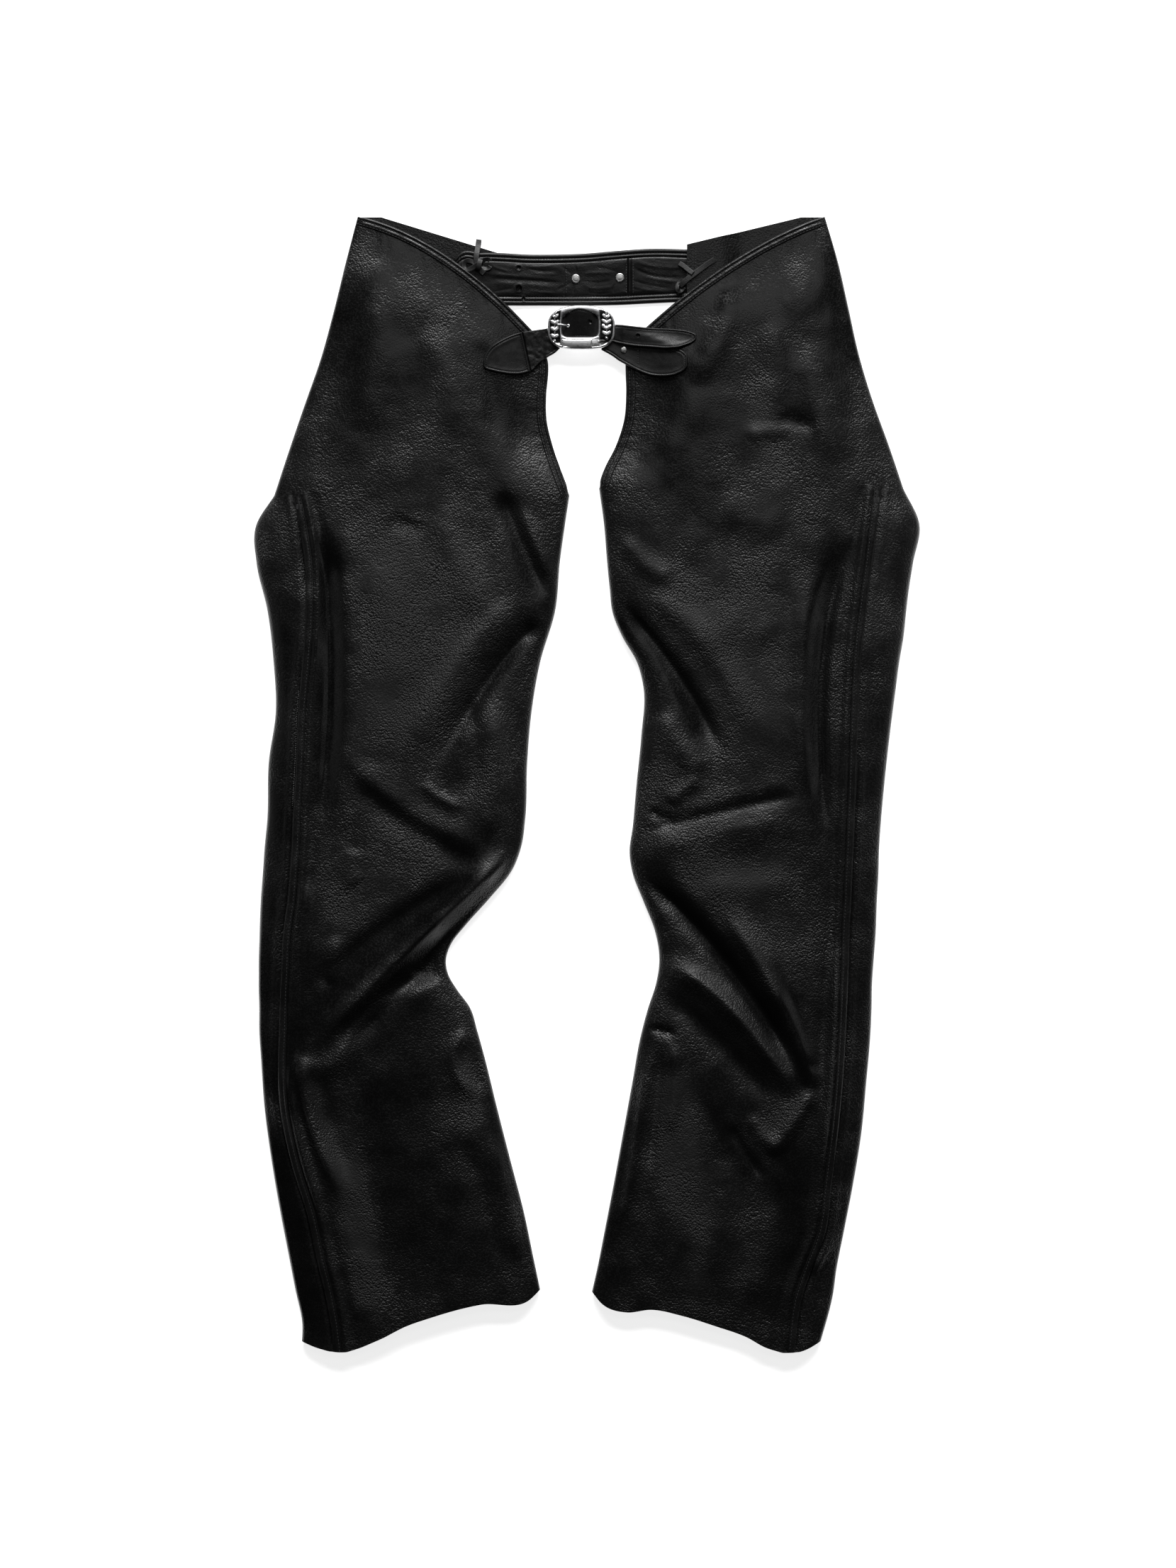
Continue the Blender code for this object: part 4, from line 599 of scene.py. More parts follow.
def loft(name, rings, material, slot, closed=True, smooth_shade=True, attribute=None):
    """A closed solid through rings of points, one ring a row, with both ends filled by fans. Its faces are
    turned outwards by the sign of its volume."""
    count, around = rings.shape[:2]
    r, c = np.meshgrid(np.arange(count - 1), np.arange(around), indexing="ij")
    after = (c + 1) % around
    quads = np.stack([r * around + c, r * around + after, (r + 1) * around + after, (r + 1) * around + c], -1)
    quads = quads.reshape(-1, 4)
    points = rings.reshape(-1, 3)
    if closed:
        first, last = rings[0].mean(0), rings[-1].mean(0)
        points = np.concatenate([points, [first, last]])
        k = np.arange(around)
        k2 = (k + 1) % around
        base = (count - 1) * around
        head = np.full(around, len(points) - 2)
        tail = np.full(around, len(points) - 1)
        quads = np.concatenate([quads, np.stack([k2, k, head, head], -1),
                                np.stack([base + k, base + k2, tail, tail], -1)])
    a, b, c, d = [points[quads[:, k]] - points[0] for k in range(4)]
    if (np.cross(a, b) * c).sum() + (np.cross(a, c) * d).sum() < 0:
        quads = np.where((quads[:, 2] == quads[:, 3])[:, None], quads[:, [1, 0, 2, 3]], quads[:, ::-1])
    return add_mesh(name, points, quads, material, smooth_shade, attribute)


def turned(place, profile, segments):
    """Rings of a solid of revolution about the vertical: profile rows are radius and height."""
    angle = np.arange(segments) * 2 * math.pi / segments
    profile = np.array(profile)
    x = place[0] + profile[:, :1] * np.cos(angle)
    y = place[1] + profile[:, :1] * np.sin(angle)
    return np.stack([x, y, np.broadcast_to(place[2] + profile[:, 1:], x.shape)], -1)


# Finishes

def new_group(name, inputs, outputs):
    """An empty shader node group with named sockets."""
    group = bpy.data.node_groups.new(name, "ShaderNodeTree")
    for label, kind, value in inputs:
        socket = group.interface.new_socket(name=label, in_out="INPUT", socket_type="NodeSocket" + kind)
        if value is not None:
            socket.default_value = value
    for label, kind in outputs:
        group.interface.new_socket(name=label, in_out="OUTPUT", socket_type="NodeSocket" + kind)
    return group, group.nodes.new("NodeGroupInput"), group.nodes.new("NodeGroupOutput")


def node(tree, kind, **values):
    """A shader node with its properties set. Keys that name an input set that input's value."""
    made = tree.nodes.new("ShaderNode" + kind)
    for key, value in values.items():
        if hasattr(made, key):
            setattr(made, key, value)
        else:
            made.inputs[key.replace("_", " ")].default_value = value
    return made


def sum_of(tree, *parts):
    """Node that adds values, each an output socket times a number or another socket."""
    total = None
    for socket, factor in parts:
        times = node(tree, "Math", operation="MULTIPLY")
        tree.links.new(socket, times.inputs[0])
        if isinstance(factor, (int, float)):
            times.inputs[1].default_value = factor
        else:
            tree.links.new(factor, times.inputs[1])
        if total is None:
            total = times.outputs[0]
            continue
        plus = node(tree, "Math", operation="ADD")
        tree.links.new(total, plus.inputs[0])
        tree.links.new(times.outputs[0], plus.inputs[1])
        total = plus.outputs[0]
    return total


def make_grain_group():
    """Leather grain: rounded pebbles with fine valleys between them and slow wrinkles. Puts out the
    height in metres and a mask of the valleys."""
    group, start, end = new_group(
        "leather_grain",
        [("Vector", "Vector", None), ("Pebble Scale", "Float", 800.0), ("Pebble Depth", "Float", 0.00010),
         ("Wrinkle Depth", "Float", 0.0003)],
        [("Height", "Float"), ("Valley", "Float"), ("Mottle", "Float")])
    warp = node(group, "TexNoise", Scale=240.0, Detail=2.0)
    group.links.new(start.outputs["Vector"], warp.inputs["Vector"])
    mix = node(group, "MixRGB", blend_type="LINEAR_LIGHT", Fac=0.0012)
    group.links.new(start.outputs["Vector"], mix.inputs[1])
    group.links.new(warp.outputs["Color"], mix.inputs[2])
    pebbles = node(group, "TexVoronoi", feature="SMOOTH_F1", Smoothness=0.35)
    group.links.new(mix.outputs[0], pebbles.inputs["Vector"])
    group.links.new(start.outputs["Pebble Scale"], pebbles.inputs["Scale"])
    slow = node(group, "TexNoise", Scale=26.0, Detail=3.0, Roughness=0.55)
    group.links.new(start.outputs["Vector"], slow.inputs["Vector"])
    wrinkles = node(group, "TexNoise", Scale=150.0, Detail=4.0, Roughness=0.6, Distortion=1.2)
    group.links.new(start.outputs["Vector"], wrinkles.inputs["Vector"])
    strength = node(group, "MapRange", From_Min=0.35, From_Max=0.65, To_Min=0.2, To_Max=1.6)
    group.links.new(slow.outputs["Fac"], strength.inputs["Value"])
    depth = node(group, "Math", operation="MULTIPLY")
    group.links.new(start.outputs["Pebble Depth"], depth.inputs[0])
    group.links.new(strength.outputs[0], depth.inputs[1])
    negative = node(group, "Math", operation="MULTIPLY")
    group.links.new(depth.outputs[0], negative.inputs[0])
    negative.inputs[1].default_value = -2.0
    dome = node(group, "Math", operation="POWER")
    group.links.new(pebbles.outputs["Distance"], dome.inputs[0])
    dome.inputs[1].default_value = 2.0
    height = sum_of(group, (dome.outputs[0], negative.outputs[0]),
                    (wrinkles.outputs["Fac"], start.outputs["Wrinkle Depth"]))
    valley = node(group, "MapRange", From_Min=0.35, From_Max=0.75)
    group.links.new(pebbles.outputs["Distance"], valley.inputs["Value"])
    group.links.new(height, end.inputs["Height"])
    group.links.new(valley.outputs[0], end.inputs["Valley"])
    group.links.new(slow.outputs["Fac"], end.inputs["Mottle"])
    return group


def leather(name, base, roughness, pebble_scale, pebble_depth, wrinkle_depth, group, shine=0.5):
    """Black leather: base colour lighter where it is mottled, rougher in the grain's valleys, with the
    grain's height as bump. The mesh marks where it is stretched smooth (below 0) or full-grained."""
    material = bpy.data.materials.new(name)
    material.use_nodes = True
    tree = material.node_tree
    shader = tree.nodes["Principled BSDF"]
    place = node(tree, "TexCoord")
    grain = node(tree, "Group", node_tree=group)
    tree.links.new(place.outputs["Object"], grain.inputs["Vector"])
    grain.inputs["Pebble Scale"].default_value = pebble_scale
    grain.inputs["Pebble Depth"].default_value = pebble_depth
    grain.inputs["Wrinkle Depth"].default_value = wrinkle_depth
    colour = node(tree, "ValToRGB")
    colour.color_ramp.elements[0].position = 0.3
    colour.color_ramp.elements[0].color = (base * 0.7, base * 0.7, base * 0.72, 1)
    colour.color_ramp.elements[1].position = 0.7
    colour.color_ramp.elements[1].color = (base * 1.5, base * 1.5, base * 1.5, 1)
    tree.links.new(grain.outputs["Mottle"], colour.inputs["Fac"])
    tree.links.new(colour.outputs["Color"], shader.inputs["Base Color"])
    rough = node(tree, "MapRange", From_Min=0.3, From_Max=0.7, To_Min=roughness - 0.05, To_Max=roughness + 0.05)
    tree.links.new(grain.outputs["Mottle"], rough.inputs["Value"])
    sheen = node(tree, "Attribute", attribute_name="detail")
    uneven = sum_of(tree, (rough.outputs[0], 1.0), (grain.outputs["Valley"], 0.12), (sheen.outputs["Fac"], 0.15))
    tree.links.new(uneven, shader.inputs["Roughness"])
    stretch = node(tree, "MapRange", From_Min=-1.0, From_Max=1.0, To_Min=0.1, To_Max=1.7)
    tree.links.new(sheen.outputs["Fac"], stretch.inputs["Value"])
    bump = node(tree, "Bump", Strength=1.0, Distance=1.0)
    tree.links.new(sum_of(tree, (grain.outputs["Height"], stretch.outputs[0])), bump.inputs["Height"])
    tree.links.new(bump.outputs["Normal"], shader.inputs["Normal"])
    shader.inputs["Specular IOR Level"].default_value = shine
    return material


def metal(name, colour, roughness, scratch_scale):
    """Polished metal: fine scratches in the roughness, a faint unevenness in the normal, and a dark patina
    where the mesh marks a recess."""
    material = bpy.data.materials.new(name)
    material.use_nodes = True
    tree = material.node_tree
    shader = tree.nodes["Principled BSDF"]
    place = node(tree, "TexCoord")
    stretch = node(tree, "Mapping")
    stretch.inputs["Scale"].default_value = (1.0, 6.0, 1.0)
    tree.links.new(place.outputs["Object"], stretch.inputs["Vector"])
    noise = node(tree, "TexNoise", Scale=scratch_scale, Detail=3.0)
    tree.links.new(stretch.outputs[0], noise.inputs["Vector"])
    rough = node(tree, "MapRange", From_Min=0.3, From_Max=0.7, To_Min=roughness * 0.7, To_Max=roughness * 1.4)
    tree.links.new(noise.outputs["Fac"], rough.inputs["Value"])
    tree.links.new(rough.outputs[0], shader.inputs["Roughness"])
    tint = node(tree, "ValToRGB")
    tint.color_ramp.elements[0].color = (*[c * 0.9 for c in colour], 1)
    tint.color_ramp.elements[1].color = (*colour, 1)
    tree.links.new(noise.outputs["Fac"], tint.inputs["Fac"])
    recess = node(tree, "Attribute", attribute_name="detail")
    aged = node(tree, "MixRGB", blend_type="MIX")
    aged.inputs[2].default_value = (0.02, 0.02, 0.02, 1)
    tree.links.new(recess.outputs["Fac"], aged.inputs["Fac"])
    tree.links.new(tint.outputs["Color"], aged.inputs[1])
    tree.links.new(aged.outputs[0], shader.inputs["Base Color"])
    bump = node(tree, "Bump", Strength=1.0, Distance=0.00002)
    tree.links.new(noise.outputs["Fac"], bump.inputs["Height"])
    tree.links.new(bump.outputs["Normal"], shader.inputs["Normal"])
    shader.inputs["Metallic"].default_value = 1.0
    return material


def thread_finish():
    """Black waxed thread with a painted highlight: its colour is lighter in bands along it, standing in for
    light caught on the crowns of its turns.
    """
    material = bpy.data.materials.new("waxed_thread")
    material.use_nodes = True
    tree = material.node_tree
    shader = tree.nodes["Principled BSDF"]
    place = node(tree, "TexCoord")
    painted_crown_highlight = node(tree, "TexWave", Scale=900.0, Distortion=1.0)
    tree.links.new(place.outputs["Object"], painted_crown_highlight.inputs["Vector"])
    # painted highlight: the thread's colour runs from black to dark grey in bands, where its crowns would catch
    # the light
    tint = node(tree, "ValToRGB")
    tint.color_ramp.elements[0].color = (0.004, 0.004, 0.004, 1)
    tint.color_ramp.elements[1].color = (0.06, 0.06, 0.062, 1)
    tree.links.new(painted_crown_highlight.outputs["Fac"], tint.inputs["Fac"])
    tree.links.new(tint.outputs["Color"], shader.inputs["Base Color"])
    shader.inputs["Roughness"].default_value = 0.42
    return material


# Legs

def cut_of(grid, mask=None):
    """Flat size of a sheet on a grid, in metres: its widest row, its longest column and its area."""
    across = np.linalg.norm(np.diff(grid, axis=1), axis=-1)[:-1]
    along = np.linalg.norm(np.diff(grid, axis=0), axis=-1)[:, :-1]
    area = np.linalg.norm(np.cross(grid[1:, 1:] - grid[:-1, :-1], grid[1:, :-1] - grid[:-1, 1:]), axis=-1) / 2
    mask = np.ones(area.shape) if mask is None else mask
    return (across * mask).sum(1).max() * MM, (along * mask).sum(0).max() * MM, (area * mask).sum() * MM * MM


def build_leg(leg, finishes):
    """Front and back panels of one leg, as walls on one grid of the whole tube."""
    hip = np.linspace(0.0, 1.0, HIP_ROWS)
    low = 1.0 + np.linspace(0.0, 1.0, LEG_ROWS)
    down = np.concatenate([hip, low[1:]])
    last_hip = HIP_ROWS - 1
    share_zip = zip_share(leg, down)
    width = leg_width(leg, down)
    t = np.linspace(0, 1, TOP_COLUMNS)
    t = t - 0.9 * np.sin(2 * np.pi * t) / (2 * np.pi) * 0.6
    top_share = share_zip[:, None] * t
    u = np.linspace(0, 1, FLANK_COLUMNS)[1:]
    u = u ** 0.8
    flank_share = share_zip[:, None] + (1 - share_zip[:, None]) * u
    share = np.concatenate([top_share, flank_share], axis=1)
    top = surface(leg, share, np.repeat(down[:, None], share.shape[1], axis=1))
    low_rows = np.arange(len(down)) >= last_hip
    top[low_rows, 0, 2] = FOLD_RADIUS
    inward = np.sign(top[:, -1, 0] - top[:, 0, 0])[:, None, None] * np.array([1.0, 0.0, 0.0])
    angle = np.linspace(0, math.pi / 2, ARC_COLUMNS + 1)[1:]
    away = np.concatenate([FOLD_RADIUS * (1 - np.cos(angle)),
                           FOLD_RADIUS + WRAP * np.arange(1, WRAP_COLUMNS + 1) / WRAP_COLUMNS])
    height = np.concatenate([FOLD_RADIUS * (1 - np.sin(angle)), np.zeros(WRAP_COLUMNS)])
    wrap_in = np.repeat(top[:, :1], len(away), axis=1) + inward * away[None, :, None]
    wrap_in[..., 2] = height
    wrap_out = np.repeat(top[:, -1:], len(away), axis=1) - inward * away[None, :, None]
    wrap_out[..., 2] = height
    seat = wrap_in[:, -1].copy()
    rows = np.arange(len(leg.hip))
    table = np.array(leg.hip).T
    place = np.clip(down, 0, 1) * rows[-1]
    hip_seat = np.stack([smooth(rows, table[5], place), smooth(rows, table[6], place), np.zeros(len(down))], -1)
    seat = np.where((down > 1.0)[:, None], seat, hip_seat)
    k = np.linspace(0, 1, FLOOR_COLUMNS)[None, 1:, None]
    floor = wrap_out[:, -1:] + (seat[:, None] - wrap_out[:, -1:]) * k
    if leg.side == "right":
        over = ease((146.0 - floor[..., 0]) / 22.0) * ease((floor[..., 1] - 405.0) / 35.0)
        floor[..., 2] += (BELT_WALL + 2 * LAY_GAP) * over
    grid = np.concatenate([wrap_in[:, ::-1], top, wrap_out, floor], axis=1)
    columns = grid.shape[1]
    inner = wrap_in.shape[1]
    zip_column = inner + TOP_COLUMNS - 1
    outer = inner + share.shape[1] - 1
    wrap_end = outer + wrap_out.shape[1]
    side = -1.0 if leg.side == "left" else 1.0
    normals = outward_normals(grid, -side)
    r, c = np.meshgrid(np.arange(len(down) - 1), np.arange(columns - 1), indexing="ij")
    hips = r < last_hip
    front = (hips & (c >= inner) & (c < wrap_end)) | (~hips & (c < zip_column))
    back = (hips & (c >= wrap_end)) | (~hips & (c >= zip_column))
    flat, flat_inside = grid.reshape(-1, 3), (grid - normals * WALL).reshape(-1, 3)
    sheen = np.clip(fold_sum(leg.sheen, flat[:, 0], flat[:, 1]), -1.05, 1.6)
    made = []
    for name, mask in (("front_", front), ("back_", back)):
        quads = cells(len(down), columns, mask)
        if leg.side == "left":
            quads = quads[:, ::-1]
        points, faces, used = shell(flat, flat_inside, quads)
        piece = add_mesh(name + leg.side + "_leather", points, faces, finishes["panel"],
                         attribute=np.concatenate([sheen, sheen])[used])
        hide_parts(name + "panel_" + leg.side)
        made.append(piece)
    return made, (cut_of(grid, front), cut_of(grid, back))


BAND_PROFILE = (
    # offset in from the panel's edge, height over the panel
    (-0.75, -0.7), (-0.7, 0.1), (-0.4, 0.8), (0.3, 1.3), (1.0, 1.45), (1.7, 1.25), (2.2, 0.9), (2.6, 0.72),
    (3.0, 0.7), (3.4, 0.8), (4.0, 1.05), (4.9, 1.25), (5.7, 1.15), (6.2, 0.9), (6.6, 0.75), (7.0, 0.78),
    (7.5, 0.7), (7.9, 0.4), (8.2, 0.0),
)


def band_lane(leg, share, down, turn, profile):
    """Rings of the bound edge: its profile across, raised from the leather under each place."""
    offsets = np.array([row[0] for row in profile]) * turn
    heights = np.array([row[1] for row in profile])
    points, normals = lane(leg, share, down, offsets)
    fade = ease(np.minimum(np.arange(len(down)), np.arange(len(down))[::-1]) / 9.0 + 0.08)[:, None]
    uneven = 1 + 0.22 * lattice_noise(points[..., 0], points[..., 1], 5.0, 51)
    heights = heights[None, :] * np.where(heights > 0, fade * uneven, 1.0)
    outside = offsets * turn < 0
    edge = int(np.argmax(offsets * turn >= 0))
    points[:, outside, 2] = points[:, edge:edge + 1, 2]
    rim = points[:, edge:edge + 1, :2]
    points[:, outside, :2] = rim + (points[:, outside, :2] - rim) * fade[..., None]
    normals[:, outside] = normals[:, edge:edge + 1]
    return points + normals * heights[..., None]


def build_band(leg, finishes):
    """The bound edge along the waist and the open crotch edge, in two runs that meet at the corner."""
    turn = -1.0 if leg.side == "left" else 1.0
    runs = []
    waist_share = np.linspace(0.997, 0.0, 150)
    runs.append((waist_share, np.full(150, 0.0)))
    edge_down = np.linspace(0.045, 0.997, 100)
    runs.append((np.zeros(100), edge_down))
    pieces = []
    for number, (share, down) in enumerate(runs):
        top = band_lane(leg, share, down, turn, BAND_PROFILE)
        under = band_lane(leg, share, down, turn, ((8.2, -0.2), (0.3, -0.2), (0.3, -1.55), (-0.35, -1.6)))
        rings = np.concatenate([top, under], axis=1)
        pieces.append(loft("band_%s_%d" % (leg.side, number), rings, finishes["band"], "band_leather"))
    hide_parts("edge_band_" + leg.side)
    rows = []
    for share, down in runs:
        for offset in (2.9, 6.7):
            points, normals = lane(leg, share, down, [(offset - 0.2) * turn, offset * turn], 0.8)
            rows.append((points[:, 1], normals[:, 1]))
    return pieces, rows


STRIP_PROFILE = (
    (-3.6, 0.0), (-3.5, 0.9), (-3.1, 1.35), (-2.3, 1.5), (-1.6, 1.25), (-1.4, 1.1), (-1.2, 1.25), (-0.6, 1.55),
    (0.6, 1.6), (1.8, 1.6), (2.8, 1.45), (3.4, 1.1), (3.6, 0.2),
)


# share of the way down at which the left zip's coil shows
COIL_RANGE = (1.245, 1.395)


def build_zip(leg, finishes):
    """The lapped strip over the zip, with its row of stitches and the bartack at its top."""
    down = np.linspace(1.004, 1.9985, 330)
    share = zip_share(leg, down)
    turn = -1.0 if leg.side == "left" else 1.0
    profile = np.array(STRIP_PROFILE)
    points, normals = lane(leg, share, down, profile[:, 0] * turn)
    top = points + normals * profile[None, :, 1:]
    under, under_normals = lane(leg, share, down, [3.4 * turn, -3.4 * turn], -0.4)
    rings = np.concatenate([top, under], axis=1)
    strip = loft("zip_flap_" + leg.side, rings, finishes["band"], "band_leather")
    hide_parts("zip_strip_" + leg.side)
    points, normals = lane(leg, share, down, [-1.6 * turn, -1.4 * turn], 1.15)
    rows = [(points[:, 1], normals[:, 1])]
    middle, up = lane(leg, share, down, [-0.2 * turn, 0.0], 1.65)
    for k in range(6):
        at = middle[3, 1] + np.array([0.0, -0.75 * k, 0.1])
        bar = at + np.linspace(-3.2, 3.2, 9)[:, None] * np.array([1.0, 0.0, 0.0])
        rows.append((bar, np.tile(up[3, 1], (9, 1))))
    return strip, rows


def build_coil(leg, finishes):
    """The zip's coil, where it shows in the groove beside the strip: a rod with a rib a tooth."""
    turn = -1.0 if leg.side == "left" else 1.0
    down = np.linspace(*COIL_RANGE, 500)
    points, _ = lane(leg, zip_share(leg, down), down, [5.0 * turn, 5.2 * turn], 0.5)
    route = points[:, 1]
    length = np.concatenate([[0], np.cumsum(np.linalg.norm(np.diff(route, axis=0), axis=1))])
    ends = ease(np.minimum(length, length[-1] - length) / 3.0 + 0.05)
    radius = (0.75 + 0.3 * np.sin(2 * np.pi * length / 1.7)) * ends
    coil = tube("zip_coil_" + leg.side, route, radius, finishes["band"], "band_leather", 10)
    return coil


# Sewing

def even_path(points, normals, pitch):
    """The path's points and normals at even steps of its length."""
    length = np.concatenate([[0], np.cumsum(np.linalg.norm(np.diff(points, axis=0), axis=1))])
    at = np.arange(pitch / 2, length[-1], pitch)
    at = at[np.diff(length)[np.clip(np.searchsorted(length, at) - 1, 0, len(length) - 2)] < 4.0]
    path = np.stack([np.interp(at, length, points[:, k]) for k in range(3)], -1)
    up = unit(np.stack([np.interp(at, length, normals[:, k]) for k in range(3)], -1))
    return path, up


def stitches(name, rows, finishes, pitch=3.2, length=2.3, radius=0.42):
    """Sewn thread: a short rod a stitch, round in section and tapered into the leather at both ends."""
    paths = [even_path(points, normals, pitch) for points, normals in rows]
    centre = np.concatenate([p for p, _ in paths])
    up = np.concatenate([n for _, n in paths])
    run = np.concatenate([unit(np.gradient(p, axis=0)) for p, _ in paths])
    across = unit(np.cross(run, up))
    along = np.array([-0.5, -0.42, -0.2, 0.2, 0.42, 0.5]) * length
    swell = np.array([0.25, 0.8, 1.0, 1.0, 0.8, 0.25]) * radius
    sink = np.array([-0.5, -0.12, 0.0, 0.0, -0.12, -0.5]) * radius * 1.6
    angle = np.arange(6) * math.pi / 3
    ring = (centre[:, None, None] + run[:, None, None] * along[None, :, None, None]
            + up[:, None, None] * (sink[:, None] + swell[:, None] * np.sin(angle))[None, :, :, None]
            + across[:, None, None] * (swell[:, None] * np.cos(angle))[None, :, :, None])
    count = len(centre)
    points = ring.reshape(-1, 3)
    r, c = np.meshgrid(np.arange(5), np.arange(6), indexing="ij")
    after = (c + 1) % 6
    base = np.stack([r * 6 + c, r * 6 + after, (r + 1) * 6 + after, (r + 1) * 6 + c], -1).reshape(-1, 4)
    caps = np.array([[3, 2, 1, 0], [5, 4, 3, 0], [30, 31, 32, 33], [30, 33, 34, 35]])
    base = np.concatenate([base[:, ::-1], caps[:, ::-1]])
    faces = (base[None] + np.arange(count)[:, None, None] * 36).reshape(-1, 4)
    return add_mesh(name, points, faces, finishes["thread"])


# Belt

# columns: x, bottom_y, top_y
BELT_SECTIONS = (
    (-126.0, 456.0, 493.0), (-121.0, 451.0, 498.5), (-100.5, 450.0, 499.5), (-49.5, 450.0, 498.0),
    (-3.5, 450.0, 499.0), (27.0, 450.5, 501.5), (57.5, 452.0, 503.5), (91.5, 453.5, 503.0),
    (105.0, 454.0, 502.5),
)
BELT_COLUMNS = 330
BELT_ROWS = 76
RIVETS = ((-11.5, 475.0), (30.0, 476.0))
# columns: x, y, radius, depth
BELT_HOLES = ((-65.2, 485.3, 1.7, 1.3), (-65.0, 466.0, 2.5, 2.6), (-60.6, 456.3, 1.3, 1.4))
# Wrinkles of the belt, with the same columns as the folds
BELT_FOLDS = (
    (-97.0, 475.4, -57.2, 473.6, -17.6, 470.9, 1.5, 2.6, -1.3, 1.5),
    (-99.0, 480.0, -66.0, 477.4, -26.0, 474.6, 3.2, 2.0, 1.0, 1.7),
    (-94.0, 470.4, -60.0, 469.6, -24.0, 466.6, 2.0, 3.6, 0.9, 1.8),
    (-92.0, 487.6, -82.0, 483.6, -70.0, 480.4, 1.6, 1.8, 0.8, 1.8),
    (-88.0, 482.6, -76.0, 480.4, -64.0, 478.6, 1.1, 1.1, -0.7, 1.5),
    (-62.0, 488.6, -48.0, 486.4, -26.0, 489.0, 1.6, 1.8, 0.8, 1.8),
    (-58.0, 485.2, -44.0, 482.4, -26.0, 483.4, 1.1, 1.2, -0.8, 1.5),
    (-56.0, 481.2, -42.0, 479.2, -24.0, 479.6, 1.4, 1.4, 0.7, 1.8),
    (-26.0, 488.6, -20.0, 483.0, -14.6, 479.2, 1.3, 1.3, -0.9, 1.5),
    (-12.4, 488.4, -11.4, 484.6, -11.2, 480.6, 0.9, 0.9, -0.8, 1.5),
    (-30.0, 464.2, -22.0, 468.0, -15.8, 472.6, 1.4, 1.4, -0.9, 1.5),
    (-14.6, 470.6, -13.6, 465.6, -14.0, 460.0, 1.0, 1.0, -0.8, 1.5),
    (-7.0, 479.2, 9.0, 480.8, 24.0, 479.8, 1.5, 1.9, 0.9, 1.8),
    (-6.4, 474.0, 8.0, 471.6, 25.0, 474.2, 1.2, 1.4, -0.7, 1.5),
    (-4.0, 468.2, 10.0, 466.0, 26.0, 468.8, 1.6, 2.2, 0.8, 1.8),
    (6.0, 486.6, 18.0, 484.2, 28.0, 481.6, 1.1, 1.1, -0.6, 1.5),
    (27.0, 471.4, 24.0, 466.0, 25.0, 460.4, 1.0, 1.0, -0.8, 1.5),
    (33.0, 480.4, 35.6, 484.6, 36.0, 489.6, 1.0, 1.0, -0.7, 1.5),
    (41.0, 487.4, 60.0, 478.6, 90.0, 476.6, 1.4, 2.6, -1.3, 1.5),
    (42.0, 491.4, 66.0, 486.4, 90.0, 485.4, 2.4, 2.4, 1.0, 1.8),
    (52.0, 477.4, 70.0, 473.6, 92.0, 471.6, 1.8, 2.0, 0.9, 1.8),
    (42.0, 474.0, 56.0, 469.6, 84.0, 465.2, 1.2, 1.4, -0.9, 1.5),
    (40.0, 468.6, 58.0, 464.2, 86.0, 460.8, 1.6, 1.6, 0.7, 1.8),
    (58.0, 494.6, 74.0, 491.6, 92.0, 492.2, 1.2, 1.2, -0.6, 1.5),
    (-92.0, 461.6, -80.0, 464.2, -70.0, 465.4, 1.2, 1.2, -0.7, 1.5),
    (-56.0, 464.6, -44.0, 462.4, -30.0, 461.6, 1.3, 1.4, 0.6, 1.8),
    (-2.0, 462.8, 12.0, 460.8, 24.0, 463.4, 1.1, 1.1, -0.6, 1.5),
)
BELT_SEAMS = ((-21.6, 0.35), (37.6, 0.9), (40.4, 0.45))      # x, depth


def belt_height(x, lower, upper, v):
    """Top of the belt: two layers over the table and the left hip, rounded at the edges, with a ribbed
    piping between two grooves along each long edge and a creased, slightly filled field."""
    width = upper - lower
    edge = np.minimum(v, 1 - v) * width
    ends = np.minimum(x - BELT_SECTIONS[0][0], BELT_SECTIONS[-1][0] - x)
    round_off = np.minimum(edge, ends)
    y = lower + width * v
    top = 1.8 * ease((-58.0 - x) / 20.0) + BELT_WALL - 0.4
    top = top - 1.5 * (1 - np.sqrt(1 - (1 - np.clip(round_off / 1.6, 0, 1)) ** 2))
    ribs = 0.5 + 0.5 * np.sin(2 * np.pi * (x + 0.35 * edge) / 2.5)
    top += 0.3 * np.exp(-((edge - 2.3) / 1.2) ** 2)
    top -= 0.5 * np.exp(-((edge - 4.3) / 0.45) ** 2)
    top += (0.16 + 0.3 * ribs) * np.exp(-((edge - 6.0) / 1.1) ** 4)
    top -= 0.65 * np.exp(-((edge - 8.0) / 0.5) ** 2)
    field = ease((edge - 8.2) / 4.0)
    top += 0.4 * field + 0.3 * field * fold_sum(BELT_FOLDS, x, y)
    top += field * 0.07 * lattice_noise(x, y, 3.4, 21) + field * 0.15 * lattice_noise(x, y, 9.0, 22)
    for seam_x, depth in BELT_SEAMS:
        top -= depth * np.exp(-((x - seam_x) / 0.55) ** 2) * ease((edge - 6.0) / 3.0)
    for hole_x, hole_y, radius, depth in BELT_HOLES:
        away = np.hypot(x - hole_x, y - hole_y)
        top += 0.35 * np.exp(-((away - radius - 1.0) / 0.8) ** 2) - depth * ease((radius + 0.35 - away) / 0.7)
    for rivet_x, rivet_y in RIVETS:
        away = np.hypot(x - rivet_x, y - rivet_y)
        top -= 0.5 * np.exp(-(away / 6.5) ** 2)
    return top


